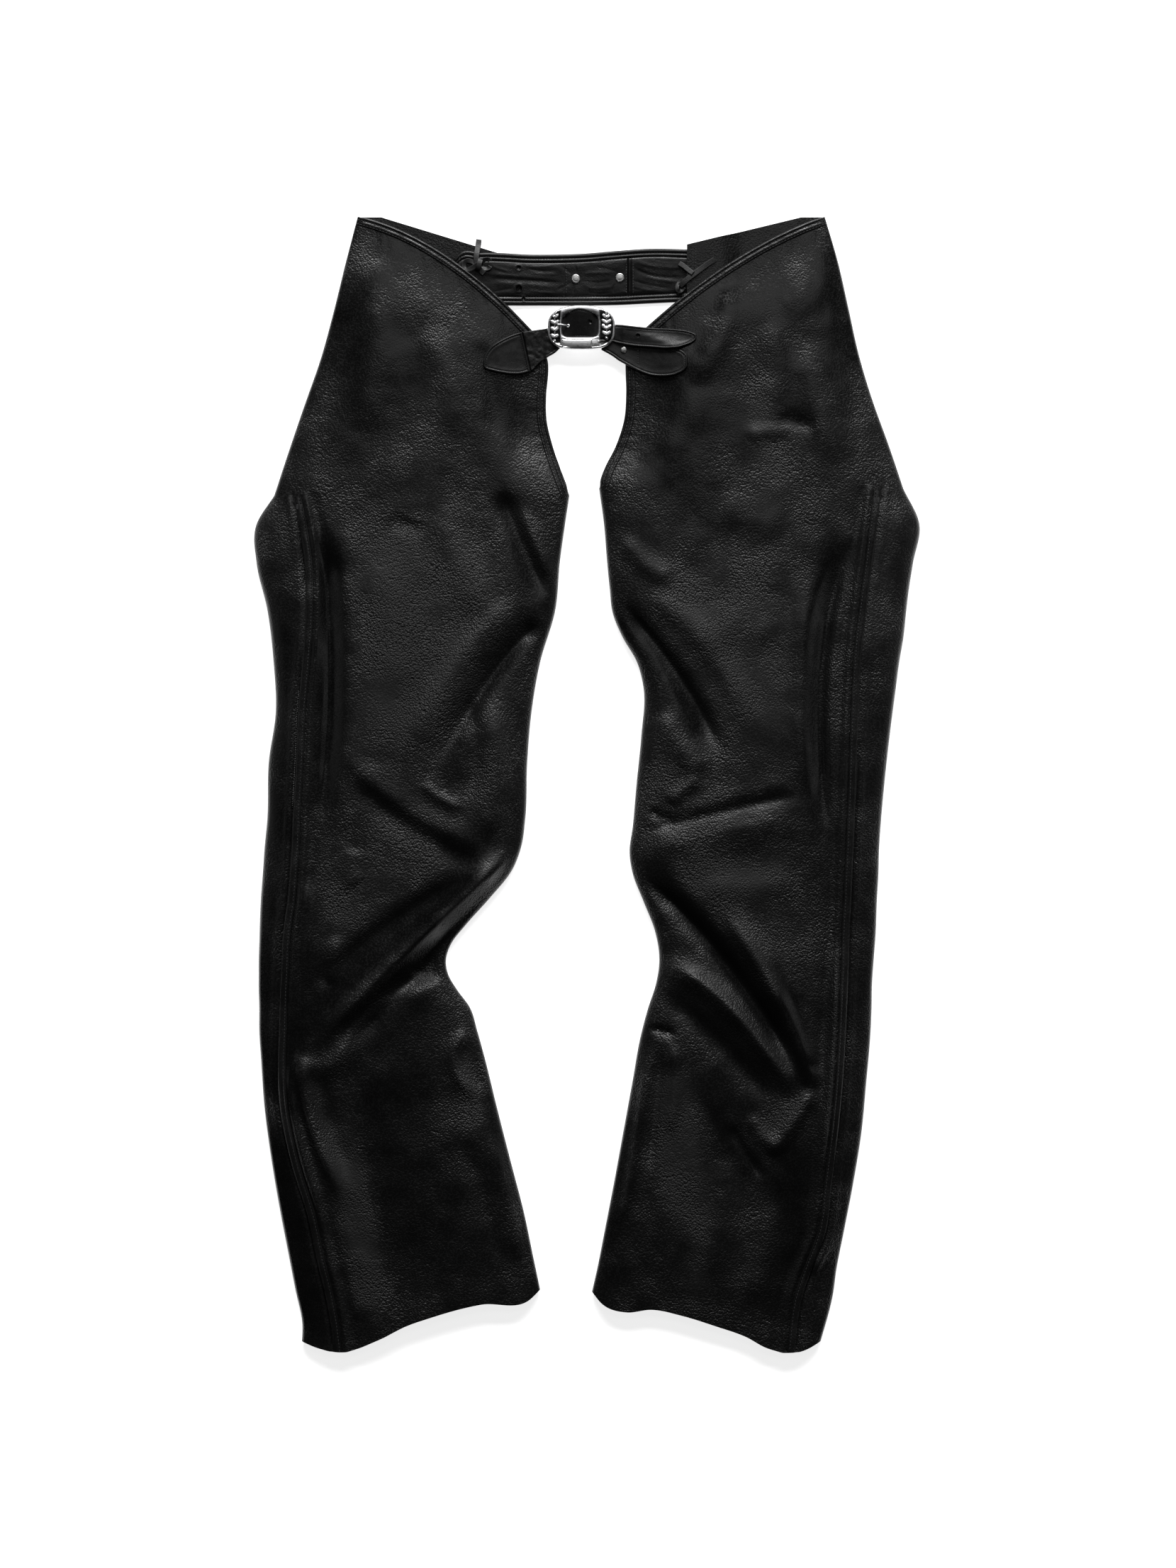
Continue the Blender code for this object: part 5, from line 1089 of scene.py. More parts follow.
def build_belt(finishes):
    """The belt as a closed wall on one grid, with stitches along both edges and at its seams."""
    table = np.array(BELT_SECTIONS).T
    x = np.linspace(table[0][0], table[0][-1], BELT_COLUMNS)
    lower, upper = smooth(table[0], table[1], x)[:, None], smooth(table[0], table[2], x)[:, None]
    v = np.linspace(0, 1, BELT_ROWS)
    v = v - 0.55 * np.sin(2 * np.pi * v) / (2 * np.pi)
    grid_x = np.repeat(x[:, None], BELT_ROWS, axis=1)
    y = lower + (upper - lower) * v
    top = np.stack([grid_x, y, belt_height(grid_x, lower, upper, v)], -1)
    under = top.copy()
    under[..., 2] = 1.8 * ease((-58.0 - grid_x) / 20.0) + 0.05
    quads = cells(BELT_COLUMNS, BELT_ROWS)[:, ::-1]
    points, faces, _ = shell(top.reshape(-1, 3), under.reshape(-1, 3), quads)
    belt = add_mesh("belt_leather", points, faces, finishes["belt"])
    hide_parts("rear_belt")
    rows = []
    for offset in (4.3, 8.0):
        for from_top in (False, True):
            share = offset / (upper - lower)
            share = 1 - share if from_top else share
            z = belt_height(x[:, None], lower, upper, share) + 0.1
            line = np.concatenate([x[:, None], lower + (upper - lower) * share, z], axis=1)[6:-6]
            rows.append((line, np.tile([0.0, 0.0, 1.0], (len(line), 1))))
    for seam_x in (36.0, 42.4, -20.4):
        y_line = np.linspace(461.0, 490.5, 40)
        low, high = np.interp(seam_x, x, lower[:, 0]), np.interp(seam_x, x, upper[:, 0])
        z = belt_height(np.full(40, seam_x), low, high, (y_line - low) / (high - low)) + 0.05
        rows.append((np.stack([np.full(40, seam_x), y_line, z], -1), np.tile([0.0, 0.0, 1.0], (40, 1))))
    y_line = np.linspace(470.0, 503.0, 40)
    for from_edge in (5.6, 8.4):
        rows.append(upward(np.stack([np.full(40, 93.0 + from_edge), y_line, np.full(40, 5.2)], -1)))
    stitches("stitching_belt", rows, finishes, 2.6, 1.9, 0.3)
    return belt


def build_heads(finishes):
    """Rivet heads with a flat, faintly ringed crown and a turned-down edge."""
    profile = ((0.0, 0.0), (4.1, 0.0), (4.2, 0.25), (4.2, 0.6), (4.05, 1.0), (3.6, 1.35), (3.1, 1.45),
               (2.95, 1.38), (2.7, 1.45), (1.5, 1.56), (0.0, 1.6))
    for number, (x, y) in enumerate(RIVETS, 1):
        rings = turned((x, y, 3.05), profile[1:-1], 40)
        head = loft("rivet_head_%d" % number, rings, finishes["steel"], "rivet_steel")
        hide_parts("rivet_%d" % number)


# Tabs and straps

# columns: x, lower_y, upper_y
TAB_LEFT = (
    (-98.0, 391.5, 397.5), (-97.2, 389.9, 400.2), (-95.0, 388.3, 404.3), (-91.5, 387.2, 408.6),
    (-87.0, 386.0, 412.2), (-81.5, 384.9, 415.4), (-76.0, 384.2, 418.2), (-66.0, 384.6, 422.2),
    (-58.0, 387.0, 424.3),
)
TAB_RIGHT = (
    (12.6, 407.5, 437.0), (18.0, 404.6, 434.5), (24.0, 401.0, 431.0), (28.0, 398.0, 429.5),
    (34.0, 394.5, 427.0), (45.0, 388.5, 423.0), (57.5, 383.5, 419.0), (69.5, 382.0, 414.5),
    (83.5, 384.0, 408.5), (90.5, 388.0, 404.5), (93.0, 391.0, 401.5),
)
TAB_SLANT = 8.0
# columns: x, lower_y, upper_y, underside_z, tilt across (mm higher at the upper edge than at the lower)
STRAP_SECTIONS = (
    (-57.5, 387.3, 424.5, 7.0, 0.0),
    (-46.0, 395.0, 426.5, 7.0, 0.0),
    (-38.0, 400.5, 428.0, 7.0, 0.0),
    (-30.0, 405.5, 432.0, 6.6, 0.0),
    (-23.5, 412.2, 440.0, 6.6, 0.0),
    (-19.0, 416.0, 442.6, 7.6, 0.7),
    (-14.5, 417.6, 444.6, 10.2, 1.9),
    (-9.5, 418.0, 445.9, 11.6, 2.6),
    (-3.5, 418.0, 445.4, 11.1, 2.4),
    (1.5, 417.6, 444.0, 9.4, 1.5),
    (6.5, 416.4, 442.0, 7.4, 0.6),
    (13.0, 415.2, 437.0, 7.2, 0.0),
    (22.0, 414.8, 432.0, 7.2, 0.0),
    (30.0, 412.8, 431.0, 7.2, 0.0),
    (43.5, 410.5, 429.3, 0.0, 0.0),
    (59.0, 409.2, 428.0, 0.0, 0.0),
    (75.5, 408.0, 427.2, 0.0, 0.0),
    (85.0, 409.2, 426.3, 0.0, 0.0),
    (91.0, 411.0, 425.4, 0.0, 0.0),
    (95.5, 412.6, 424.2, 0.0, 0.0),
    (98.6, 414.4, 423.0, 0.0, 0.0),
    (100.6, 416.2, 421.8, 0.0, 0.0),
    (101.5, 417.8, 420.8, 0.0, 0.0),
)
STRAP_FREE = (-43.0, 34.0)
# columns: x, y, radius, depth; the prong's hole goes through
STRAP_HOLES = ((1.8, 433.6, 1.6, 1.45), (46.9, 420.4, 1.6, 1.45), (-18.6, 430.2, 1.5, 0.35))
PRONG_HOLE = STRAP_HOLES[2][:3]
SCREW = (33.5, 407.5)
SCREW_RADIUS = 3.0


def tree_of(pieces):
    """Search tree of the pieces' faces, in the tables' frame."""
    points, faces = [], []
    for piece in pieces:
        base = len(points)
        co = np.zeros(len(piece.data.vertices) * 3, np.float32)
        piece.data.vertices.foreach_get("co", co)
        points += (co.reshape(-1, 3).astype(float) / MM + MIDDLE).tolist()
        faces += [tuple(base + i for i in p.vertices) for p in piece.data.polygons]
    return BVHTree.FromPolygons(points, faces)


def support(tree, x, y, ceiling=40.0, reach=2.5):
    """Height of the highest face under a place and its close neighbours."""
    best = 0.0
    for dx, dy in ((0, 0), (reach, 0), (-reach, 0), (0, reach), (0, -reach)):
        hit = tree.ray_cast(Vector((x + dx, y + dy, ceiling)), Vector((0, 0, -1)))
        if hit[0] is not None:
            best = max(best, hit[0].z)
    return best


def raise_rows(heights, times):
    """Smooth heights along the first axis, and never sink any."""
    for _ in range(times):
        padded = np.concatenate([heights[:1], heights, heights[-1:]])
        heights = np.maximum(heights, (padded[:-2] + padded[1:-1] + padded[2:]) / 3)
    return heights


def laid(tree, x, y):
    """Underside heights of a stiff strap on the fronts: past their edge it goes on at the height it had."""
    heights = np.zeros(x.shape)
    for place in np.ndindex(x.shape):
        below = support(tree, x[place], y[place])
        heights[place] = below + LAY_GAP if below > 0 else 0.0
    while (heights == 0).any():
        padded = np.pad(heights, 1)
        near = np.maximum.reduce([padded[:-2, 1:-1], padded[2:, 1:-1], padded[1:-1, :-2], padded[1:-1, 2:]])
        heights = np.where(heights == 0, near, heights)
    return raise_rows(raise_rows(heights, 2).T, 2).T


def refine(stations_x, stations_y, values, x, y):
    """Values on a coarse grid read off on a fine one by cubic curves, first along the rows."""
    first = np.stack([smooth(stations_x, values[:, k], x) for k in range(values.shape[1])], -1)
    return np.stack([smooth(stations_y, first[k], y) for k in range(len(x))], 0)


def edge_distance(x, y):
    """Distance of every grid point from the grid's own outline."""
    ring_x = np.concatenate([x[0, :-1], x[:-1, -1], x[-1, :0:-1], x[:0:-1, 0]])
    ring_y = np.concatenate([y[0, :-1], y[:-1, -1], y[-1, :0:-1], y[:0:-1, 0]])
    ax, ay = ring_x, ring_y
    bx, by = np.roll(ring_x, -1) - ax, np.roll(ring_y, -1) - ay
    long = np.maximum(bx * bx + by * by, 1e-9)
    best = np.full(x.size, 1e9)
    px, py = x.ravel(), y.ravel()
    for k in range(len(ax)):
        t = np.clip(((px - ax[k]) * bx[k] + (py - ay[k]) * by[k]) / long[k], 0, 1)
        best = np.minimum(best, (px - ax[k] - t * bx[k]) ** 2 + (py - ay[k] - t * by[k]) ** 2)
    return np.sqrt(best).reshape(x.shape)


def slab(name, x, y, under, thick, away, relief, material, keep=None):
    """A cut leather piece: its underside heights, its thickness rounded off towards its outline, and a
    relief on top."""
    round_off = np.sqrt(1 - (1 - np.clip(away / 1.0, 0, 1)) ** 2)
    top = np.stack([x, y, under + thick * (0.42 + 0.58 * round_off) + relief], -1)
    bottom = np.stack([x, y, under + thick * 0.25 * (1 - round_off)], -1)
    quads = cells(*x.shape, keep)[:, ::-1]
    points, faces, _ = shell(top.reshape(-1, 3), bottom.reshape(-1, 3), quads)
    return add_mesh(name, points, faces, material)


def leaf(name, table, tree, columns, rows, lean, finishes, curl, relief=None, floor=0.0):
    """A leaf-shaped tab: sections along x from a lower to an upper edge, laid on the fronts, with a sewn
    groove inside its outline. Returns the piece, its grid's x and y, its top heights and their distance
    from the outline."""
    x_table, low_table, high_table = np.array(table).T
    coarse_x = np.linspace(x_table[0], x_table[-1], 13)
    coarse_v = np.linspace(0, 1, 6)

    def place(x, v):
        lower, upper = smooth(x_table, low_table, x)[:, None], smooth(x_table, high_table, x)[:, None]
        shift = lean * ((x - x_table[0]) / (x_table[-1] - x_table[0]))[:, None] * (0.5 - v)
        return x[:, None] + shift, lower + (upper - lower) * v

    cx, cy = place(coarse_x, coarse_v)
    heights = np.maximum(laid(tree, cx, cy), floor)
    t = np.linspace(0, 1, columns)
    fine_x = x_table[0] + (x_table[-1] - x_table[0]) * (t - 0.5 * np.sin(2 * np.pi * t) / (2 * np.pi))
    v = np.linspace(0, 1, rows)
    v = v - 0.6 * np.sin(2 * np.pi * v) / (2 * np.pi)
    x, y = place(fine_x, v)
    under = refine(coarse_x, coarse_v, heights, fine_x, v)
    away = edge_distance(x, y)
    under = under + curl * (1 - ease(away / 7.0))
    groove = -0.38 * np.exp(-((away - 2.5) / 0.5) ** 2) + 0.12 * np.exp(-((away - 1.4) / 0.7) ** 2)
    extra = groove + 0.06 * lattice_noise(x, y, 3.0, 31) + 0.12 * lattice_noise(x, y, 9.0, 32)
    if relief is not None:
        extra = extra + relief(x, y)
    piece = slab(name, x, y, under, STRAP_WALL, away, extra, finishes["strap"])
    top = under + STRAP_WALL + extra
    return piece, x, y, top, away


def level_line(x, y, z, away, distance, gap=0.55):
    """Places along a line at a level distance from the outline, in order round the piece's middle."""
    centre = np.array([x.mean(), y.mean()])
    count = 420
    angle = np.linspace(-math.pi, math.pi, count, endpoint=False)
    found = np.abs(away - distance) < gap
    px, py, pz = x[found], y[found], z[found]
    around = np.arctan2(py - centre[1], (px - centre[0]) * 0.5)
    order = np.argsort(around)
    px, py, pz, around = px[order], py[order], pz[order], around[order]
    bins = np.clip(((around + math.pi) / (2 * math.pi) * count).astype(int), 0, count - 1)
    total = np.maximum(np.bincount(bins, minlength=count), 1)
    keep = np.bincount(bins, minlength=count) > 0
    line = np.stack([np.bincount(bins, w, count) / total for w in (px, py, pz)], -1)[keep]
    kernel = np.array([1, 2, 3, 2, 1]) / 9
    padded = np.concatenate([line[-2:], line, line[:2]])
    return np.stack([np.convolve(padded[:, k], kernel, "valid") for k in range(3)], -1)


def upward(line):
    """The line's points with a normal straight up at each."""
    return line, np.tile([0.0, 0.0, 1.0], (len(line), 1))


def build_tabs(finishes, fronts):
    """Both leaf-shaped tabs and the lines of their stitches."""
    tree = tree_of(fronts)
    sewn = []

    def left_relief(x, y):
        seam = x + 58.5 - (404.0 - y) * 0.21
        return -0.5 * np.exp(-((seam + 1.6) / 0.5) ** 2)

    left, x, y, top, away = leaf("tab_left_leather", TAB_LEFT, tree, 84, 60, TAB_SLANT, finishes, 0.5,
                                 left_relief)
    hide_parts("front_tab_left")
    line = level_line(x, y, top, away, 2.5)
    sewn.append(upward(line[np.argsort(np.arctan2(line[:, 1] - 404.0, line[:, 0] + 78.0) % (2 * math.pi))]))

    def right_relief(x, y):
        return -0.35 * np.exp(-((x - 46.9) / 0.5) ** 2) * ease((y - 391.0) / 2.0)

    right, x, y, top, away = leaf("tab_right_leather", TAB_RIGHT, tree, 96, 60, 0.0, finishes, 0.6,
                                  right_relief, floor=5.1)
    line = level_line(x, y, top, away, 2.5)
    line = line[np.argsort(np.arctan2(line[:, 1] - 404.0, line[:, 0] - 60.0) % (2 * math.pi))]
    sewn.append(upward(line[(line[:, 0] > 46.0) & (line[:, 1] < 411.0)]))
    rows = np.linspace(392.0, 408.0, 30)
    across = np.stack([np.full(30, 46.9), rows, [np.interp(r, y[48], top[48]) + 0.1 for r in rows]], -1)
    sewn.append(upward(across))
    return left, right, tree, sewn


def cut_holes(x, y, holes):
    """Places moved so that round holes get clean rims, and a mask of the cells that stay."""
    keep = np.ones((x.shape[0] - 1, x.shape[1] - 1), bool)
    for hole_x, hole_y, radius in holes:
        away = np.hypot(x - hole_x, y - hole_y)
        inside = away < radius
        cut = inside[:-1, :-1] | inside[1:, :-1] | inside[:-1, 1:] | inside[1:, 1:]
        keep &= ~cut
        rim = np.zeros(x.shape, bool)
        for part in (rim[:-1, :-1], rim[1:, :-1], rim[:-1, 1:], rim[1:, 1:]):
            part |= cut
        pull = np.where(rim & ~inside, radius / np.maximum(away, 1e-6), 1.0)
        x, y = hole_x + (x - hole_x) * pull, hole_y + (y - hole_y) * pull
    return x, y, keep


def build_loop(finishes):
    """The right tab's end, folded round the buckle's bar: from under the tab, round and back on top."""
    radius = BAR_RADIUS + LAY_GAP + STRAP_WALL
    path = [(BAR_X + 8.0, BAR_Z - radius, 0.0), (BAR_X + 4.0, BAR_Z - radius, 0.0)]
    for angle in np.linspace(-math.pi / 2, -math.pi * 1.5, 15):
        path.append((BAR_X + radius * math.cos(angle), BAR_Z + radius * math.sin(angle), 0.0))
    x, z, share = np.array(path).T
    run = unit(np.stack([np.gradient(x), np.gradient(z)], -1))
    inward = np.stack([run[:, 1], -run[:, 0]], -1) * STRAP_WALL
    v = np.linspace(0, 1, 9)
    lower = (BAR_Y - BAR_HALF + 2.0) * (1 - share) + TAB_RIGHT[0][1] * share
    upper = (BAR_Y + BAR_HALF - 2.0) * (1 - share) + TAB_RIGHT[0][2] * share
    y = lower[:, None] + (upper - lower)[:, None] * v
    level = np.ones(len(v))
    outside = np.stack([x[:, None] * level, y, z[:, None] * level], -1)
    inside = outside + np.stack([inward[:, :1] * level, y * 0, inward[:, 1:] * level], -1)
    quads = cells(len(x), len(v))[:, ::-1]
    points, faces, _ = shell(outside.reshape(-1, 3), inside.reshape(-1, 3), quads)
    return add_mesh("tab_loop_leather", points, faces, finishes["strap"])


def build_tip_strap(finishes, tree):
    """The strap with holes: from the left tab, up through the buckle's window and out to its tip."""
    table = np.array(STRAP_SECTIONS).T

    def place(x, v):
        lower, upper = smooth(table[0], table[1], x)[:, None], smooth(table[0], table[2], x)[:, None]
        shift = TAB_SLANT * (0.5 - v) * ease(1 - (x[:, None] - x[0]) / 14.0)
        return x[:, None] + shift, lower + (upper - lower) * v

    coarse_x, coarse_v = np.linspace(table[0][0], table[0][-1], 50), np.linspace(0, 1, 6)
    lay = raise_rows(laid(tree, *place(coarse_x, coarse_v)), 14)
    held = smooth(table[0], table[3], coarse_x)[:, None]
    held = held + smooth(table[0], table[4], coarse_x)[:, None] * (2 * coarse_v - 1)
    free = ease((coarse_x - STRAP_FREE[0]) / 6.0) * ease((STRAP_FREE[1] - coarse_x) / 8.0)
    heights = lay * (1 - free[:, None]) + held * free[:, None]
    turn = table[0][-1] - 9.0
    x_line = np.concatenate([np.linspace(table[0][0], turn, 290),
                             turn + 9.0 * np.sin(np.linspace(0, math.pi / 2, 28))[1:]])
    v = np.linspace(0, 1, 48)
    v = v - 0.6 * np.sin(2 * np.pi * v) / (2 * np.pi)
    x, y = place(x_line, v)
    x, y, keep = cut_holes(x, y, [PRONG_HOLE])
    under = refine(coarse_x, coarse_v, heights, x_line, v)
    away = edge_distance(x, y)
    right_part = ease((x - 28.0) / 10.0)
    under = under + 0.7 * right_part * (1 - ease(away / 5.0))
    groove = -0.36 * np.exp(-((away - 2.3) / 0.45) ** 2) + 0.14 * np.exp(-((away - 1.2) / 0.6) ** 2)
    relief = ease((x + 40.0) / 6.0) * groove
    relief += 0.05 * lattice_noise(x, y, 2.4, 41) + 0.12 * lattice_noise(x, y, 8.0, 42)
    rough = 1 - ease((x + 34.0) / 8.0)
    relief += rough * (0.3 * lattice_noise(x + 0.5 * y, y, 3.6, 43) + 0.18 * lattice_noise(x, y, 1.7, 44))
    for hole_x, hole_y, radius, depth in STRAP_HOLES:
        from_rim = np.hypot(x - hole_x, y - hole_y) - radius
        relief += 0.14 * np.exp(-((from_rim - 0.8) / 0.5) ** 2) - depth * (1 - ease((from_rim + 0.2) / 0.5))
    strap = slab("tip_strap_leather", x, y, under, STRAP_WALL, away, relief, finishes["strap"],
                 keep)
    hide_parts("tip_strap")
    top = under + STRAP_WALL + relief
    lines = []
    for from_top in (False, True):
        points = []
        for i in np.flatnonzero((x_line > -34.0) & (x_line < 96.5)):
            width = y[i, -1] - y[i, 0]
            at = 2.3 / width
            at = 1 - at if from_top else at
            points.append((x_line[i], y[i, 0] + width * at, np.interp(at, v, top[i]) + 0.15))
        lines.append(upward(np.array(points)))
    end = np.linspace(0.2, 0.8, 12)
    i = int(np.abs(x_line - 97.5).argmin())
    lines.append(upward(np.array([(x_line[i], y[i, 0] + (y[i, -1] - y[i, 0]) * at,
                                   np.interp(at, v, top[i]) + 0.15) for at in end])))
    return strap, lines


# Buckle

BAR_X = 14.0
BAR_Y = 427.0
BAR_Z = 3.6
BAR_HALF = 11.6
BAR_RADIUS = 1.2
FRAME_CENTRE = (-6.25, 428.25)
FRAME_HALF = (31.75, 20.75)
WINDOW_CENTRE = (-7.5, 430.8)
WINDOW_HALF = (17.0, 11.8)
FRAME_BOTTOM = 9.5
FRAME_THICK = 2.9
FRAME_SEGMENTS = 380
FRAME_STEPS = 44
# columns: x, y, half_x, half_y, height, bevel
FRAME_PLATES = ((-10.3, 413.0, 14.0, 4.0, 0.85, 0.9), (13.2, 414.6, 4.4, 2.4, 0.7, 1.6))
# Leaves of the ornament on the frame's sides: stem_x, stem_bottom_y, stem_top_y, pairs, leaf_length
FRAME_SPRAYS = ((-31.2, 417.0, 440.5, 4, 5.6), (17.4, 419.5, 440.0, 4, 6.4))
# columns: x, y, z
PRONG_ROUTE = (
    (12.4, 427.0, 4.3), (8.0, 427.6, 4.8), (-6.0, 429.0, 5.9), (-14.5, 429.8, 6.4), (-17.2, 430.0, 7.2),
    (-21.0, 430.2, 11.3), (-24.3, 430.4, 13.1), (-29.0, 430.6, 13.8),
)
PRONG_RADIUS = 1.0


def rounded(centre, half, angle, top_power, bottom_power):
    """Outline of a rounded rectangle, with its own roundness in its upper and its lower half."""
    c, s = np.cos(angle), np.sin(angle)
    power = bottom_power + (top_power - bottom_power) * ease(0.5 + s / 2)
    x = centre[0] + half[0] * np.sign(c) * np.abs(c) ** (2 / power)
    y = centre[1] + half[1] * np.sign(s) * np.abs(s) ** (2 / power)
    return x, y


def leaf_relief(x, y, stem_x, stem_bottom, stem_top, pairs, length):
    """A spray: a stem with pairs of pointed, veined leaves, and a bead at each end."""
    relief = 0.45 * np.exp(-((x - stem_x) / 0.45) ** 2) * ease((y - stem_bottom) / 1.5)
    relief *= ease((stem_top - y) / 1.5)
    for k in range(pairs):
        root_y = stem_bottom + 1.5 + (stem_top - stem_bottom - 4.5) * k / (pairs - 1)
        size = length * (1.0 - 0.12 * abs(k - (pairs - 1) / 2))
        for side in (-1, 1):
            slope = math.radians(90 - side * 48)
            along = (x - stem_x) * math.cos(slope) + (y - root_y) * math.sin(slope)
            across = -(x - stem_x) * math.sin(slope) + (y - root_y) * math.cos(slope)
            u = np.clip(along / size, 0, 1)
            wide = 1.6 * (4 * u * (1 - u)) ** 0.6 + 1e-3
            body = 0.85 * np.sqrt(np.clip(1 - (across / wide) ** 2, 0, 1)) * ((along > 0) & (along < size))
            body -= 0.3 * np.exp(-(across / 0.25) ** 2) * (body > 0.1)
            relief = np.maximum(relief, body)
    for bead_y in (stem_bottom - 1.6, stem_top + 1.4):
        away = np.hypot(x - stem_x, y - bead_y)
        relief = np.maximum(relief, 0.9 * np.sqrt(np.clip(1 - (away / 1.3) ** 2, 0, 1)))
    return relief


def build_buckle(finishes):
    """The frame with its rims, plates and leaf sprays, the bar with its two posts, and the prong."""
    angle = np.arange(FRAME_SEGMENTS) * 2 * math.pi / FRAME_SEGMENTS
    outer = np.stack(rounded(FRAME_CENTRE, FRAME_HALF, angle, 2.35, 3.1), -1)
    inner = np.stack(rounded(WINDOW_CENTRE, WINDOW_HALF, angle, 3.2, 6.0), -1)
    t = np.linspace(0, 1, FRAME_STEPS)
    t = t - 0.5 * np.sin(2 * np.pi * t) / (2 * np.pi)
    flat = outer[:, None] + (inner - outer)[:, None] * t[:, None]
    x, y = flat[..., 0], flat[..., 1]
    width = np.linalg.norm(inner - outer, axis=1)[:, None]
    edge = np.minimum(t, 1 - t) * width
    height = 0.9 + (FRAME_THICK - 1.6) * np.sqrt(1 - (1 - np.clip(edge / 1.6, 0, 1)) ** 2)
    height += 1.1 * (4 * t * (1 - t)) ** 0.8
    sides = ease((np.abs(x - WINDOW_CENTRE[0]) - 17.5) / 1.5)
    sides = sides * ease((y - 411.5) / 3.0) * ease((445.0 - y) / 3.0)
    sunk = ease((edge - 1.7) / 0.7) * sides
    height -= 0.9 * sunk
    leaves = sum(leaf_relief(x, y, *spray) for spray in FRAME_SPRAYS) * ease((edge - 1.2) / 0.8)
    height += 1.1 * leaves
    patina = sunk * (1 - ease(leaves / 0.3))
    lower_bar = ease((419.0 - y) / 2.0)
    height -= 0.35 * ease((edge - 1.6) / 0.6) * lower_bar
    for plate_x, plate_y, half_x, half_y, tall, bevel in FRAME_PLATES:
        if half_x > 8:
            inside = -np.maximum(np.abs(x - plate_x) - half_x, np.abs(y - plate_y) - half_y)
        else:
            inside = (1 - np.hypot((x - plate_x) / half_x, (y - plate_y) / half_y)) * half_y
        height += tall * ease(inside / bevel)
    top = np.concatenate([flat, FRAME_BOTTOM + height[..., None]], -1)
    base = np.stack([np.concatenate([inner, np.full((FRAME_SEGMENTS, 1), FRAME_BOTTOM)], 1),
                     np.concatenate([outer, np.full((FRAME_SEGMENTS, 1), FRAME_BOTTOM)], 1)], 1)
    rings = np.concatenate([top, base], 1)
    rings = np.concatenate([rings, rings[:1]])
    patina = np.concatenate([patina, np.zeros((FRAME_SEGMENTS, 2))], 1)
    patina = np.concatenate([patina, patina[:1]])
    frame = loft("buckle_frame_metal", rings, finishes["chrome"], "buckle_metal", closed=False,
                 attribute=patina)
    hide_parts("buckle_frame")
    posts = []
    for end in (-1, 1):
        posts.append((BAR_X, BAR_Y + end * BAR_HALF, FRAME_BOTTOM + 0.2))
        posts.append((BAR_X, BAR_Y + end * BAR_HALF, BAR_Z + 1.0))
    low, high = BAR_Y - BAR_HALF, BAR_Y + BAR_HALF
    route = [posts[0], posts[1], (BAR_X, low + 0.6, BAR_Z + 0.3), (BAR_X, low + 1.6, BAR_Z),
             (BAR_X, high - 1.6, BAR_Z), (BAR_X, high - 0.6, BAR_Z + 0.3), posts[3], posts[2]]
    bar = tube("buckle_bar_metal", route, BAR_RADIUS, finishes["chrome"], "buckle_metal")
    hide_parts("buckle_bar")
    length = np.linspace(0, 1, len(PRONG_ROUTE))
    fine = np.linspace(0, 1, 64)
    route = np.stack([smooth(length, np.array(PRONG_ROUTE)[:, k], fine) for k in range(3)], -1)
    tip = np.sqrt(np.clip(1 - (np.clip(fine - 0.985, 0, 1) / 0.016) ** 2, 0.05, 1))
    radius = PRONG_RADIUS * (1 - 0.22 * fine) * tip
    prong = tube("buckle_prong_metal", route, radius, finishes["chrome"], "buckle_metal")
    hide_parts("buckle_prong")


def tube(name, route, radius, material, slot, around=16):
    """A round rod along a route, with its own radius at each place."""
    route = np.array(route, float)
    run = unit(np.gradient(route, axis=0))
    level = abs(run[:, 2]).max() < 0.9
    aside = unit(np.cross(run, np.array([0.03, 0.12, 1.0]) if level else np.array([1.0, 0.0, 0.0])))
    up = np.cross(aside, run)
    angle = np.arange(around) * 2 * math.pi / around
    radius = np.broadcast_to(radius, len(route))[:, None, None]
    rings = route[:, None] + radius * (aside[:, None] * np.cos(angle)[None, :, None]
                                       + up[:, None] * np.sin(angle)[None, :, None])
    return loft(name, rings, material, slot)


def build_screw(finishes, tree):
    """The tab's screw: a low dome with a slot, on the leather it closes."""
    angle = np.arange(72) * 2 * math.pi / 72
    radius = np.linspace(0.05, 1.0, 22) ** 0.8 * SCREW_RADIUS
    x = radius[:, None] * np.cos(angle)
    y = radius[:, None] * np.sin(angle)
    slant = 0.9 * x + 0.44 * y
    dome = 1.5 - 0.5 * (radius[:, None] / SCREW_RADIUS) ** 2 - 0.6 * ease((radius[:, None] - 2.5) / 0.5)
    dome = dome - 0.55 * ease((0.55 - np.abs(slant)) / 0.25) * (radius[:, None] < 2.6)
    low = support(tree, SCREW[0], SCREW[1]) + 0.1
    top = np.stack([SCREW[0] + x, SCREW[1] + y, low + dome], -1)
    foot = top[-1:].copy()
    foot[..., 2] = low
    screw = loft("tab_screw_metal", np.concatenate([top, foot]), finishes["steel"], "rivet_steel")
    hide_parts("tab_screw")


# Laces

LACE_WIDTH = 5.2
LACE_THICK = 1.6
# columns: x, y, z of the thong's middle, from inside its knot to its free end
LACE_LEFT = (
    (-97.6, 479.4, 6.6), (-101.0, 482.6, 6.7), (-104.2, 487.4, 6.8), (-105.0, 493.0, 6.7), (-104.6, 498.0, 6.0),
    (-103.9, 502.5, 4.3), (-103.2, 507.0, 2.4), (-102.6, 512.0, 1.2),
)
LACE_RIGHT = (
    (86.5, 468.0, 4.9), (90.0, 471.2, 6.2), (94.0, 474.6, 6.8), (99.0, 478.5, 7.0), (104.0, 482.3, 6.8),
    (109.0, 486.0, 6.5), (114.0, 489.4, 6.4), (119.0, 492.5, 6.3),
)


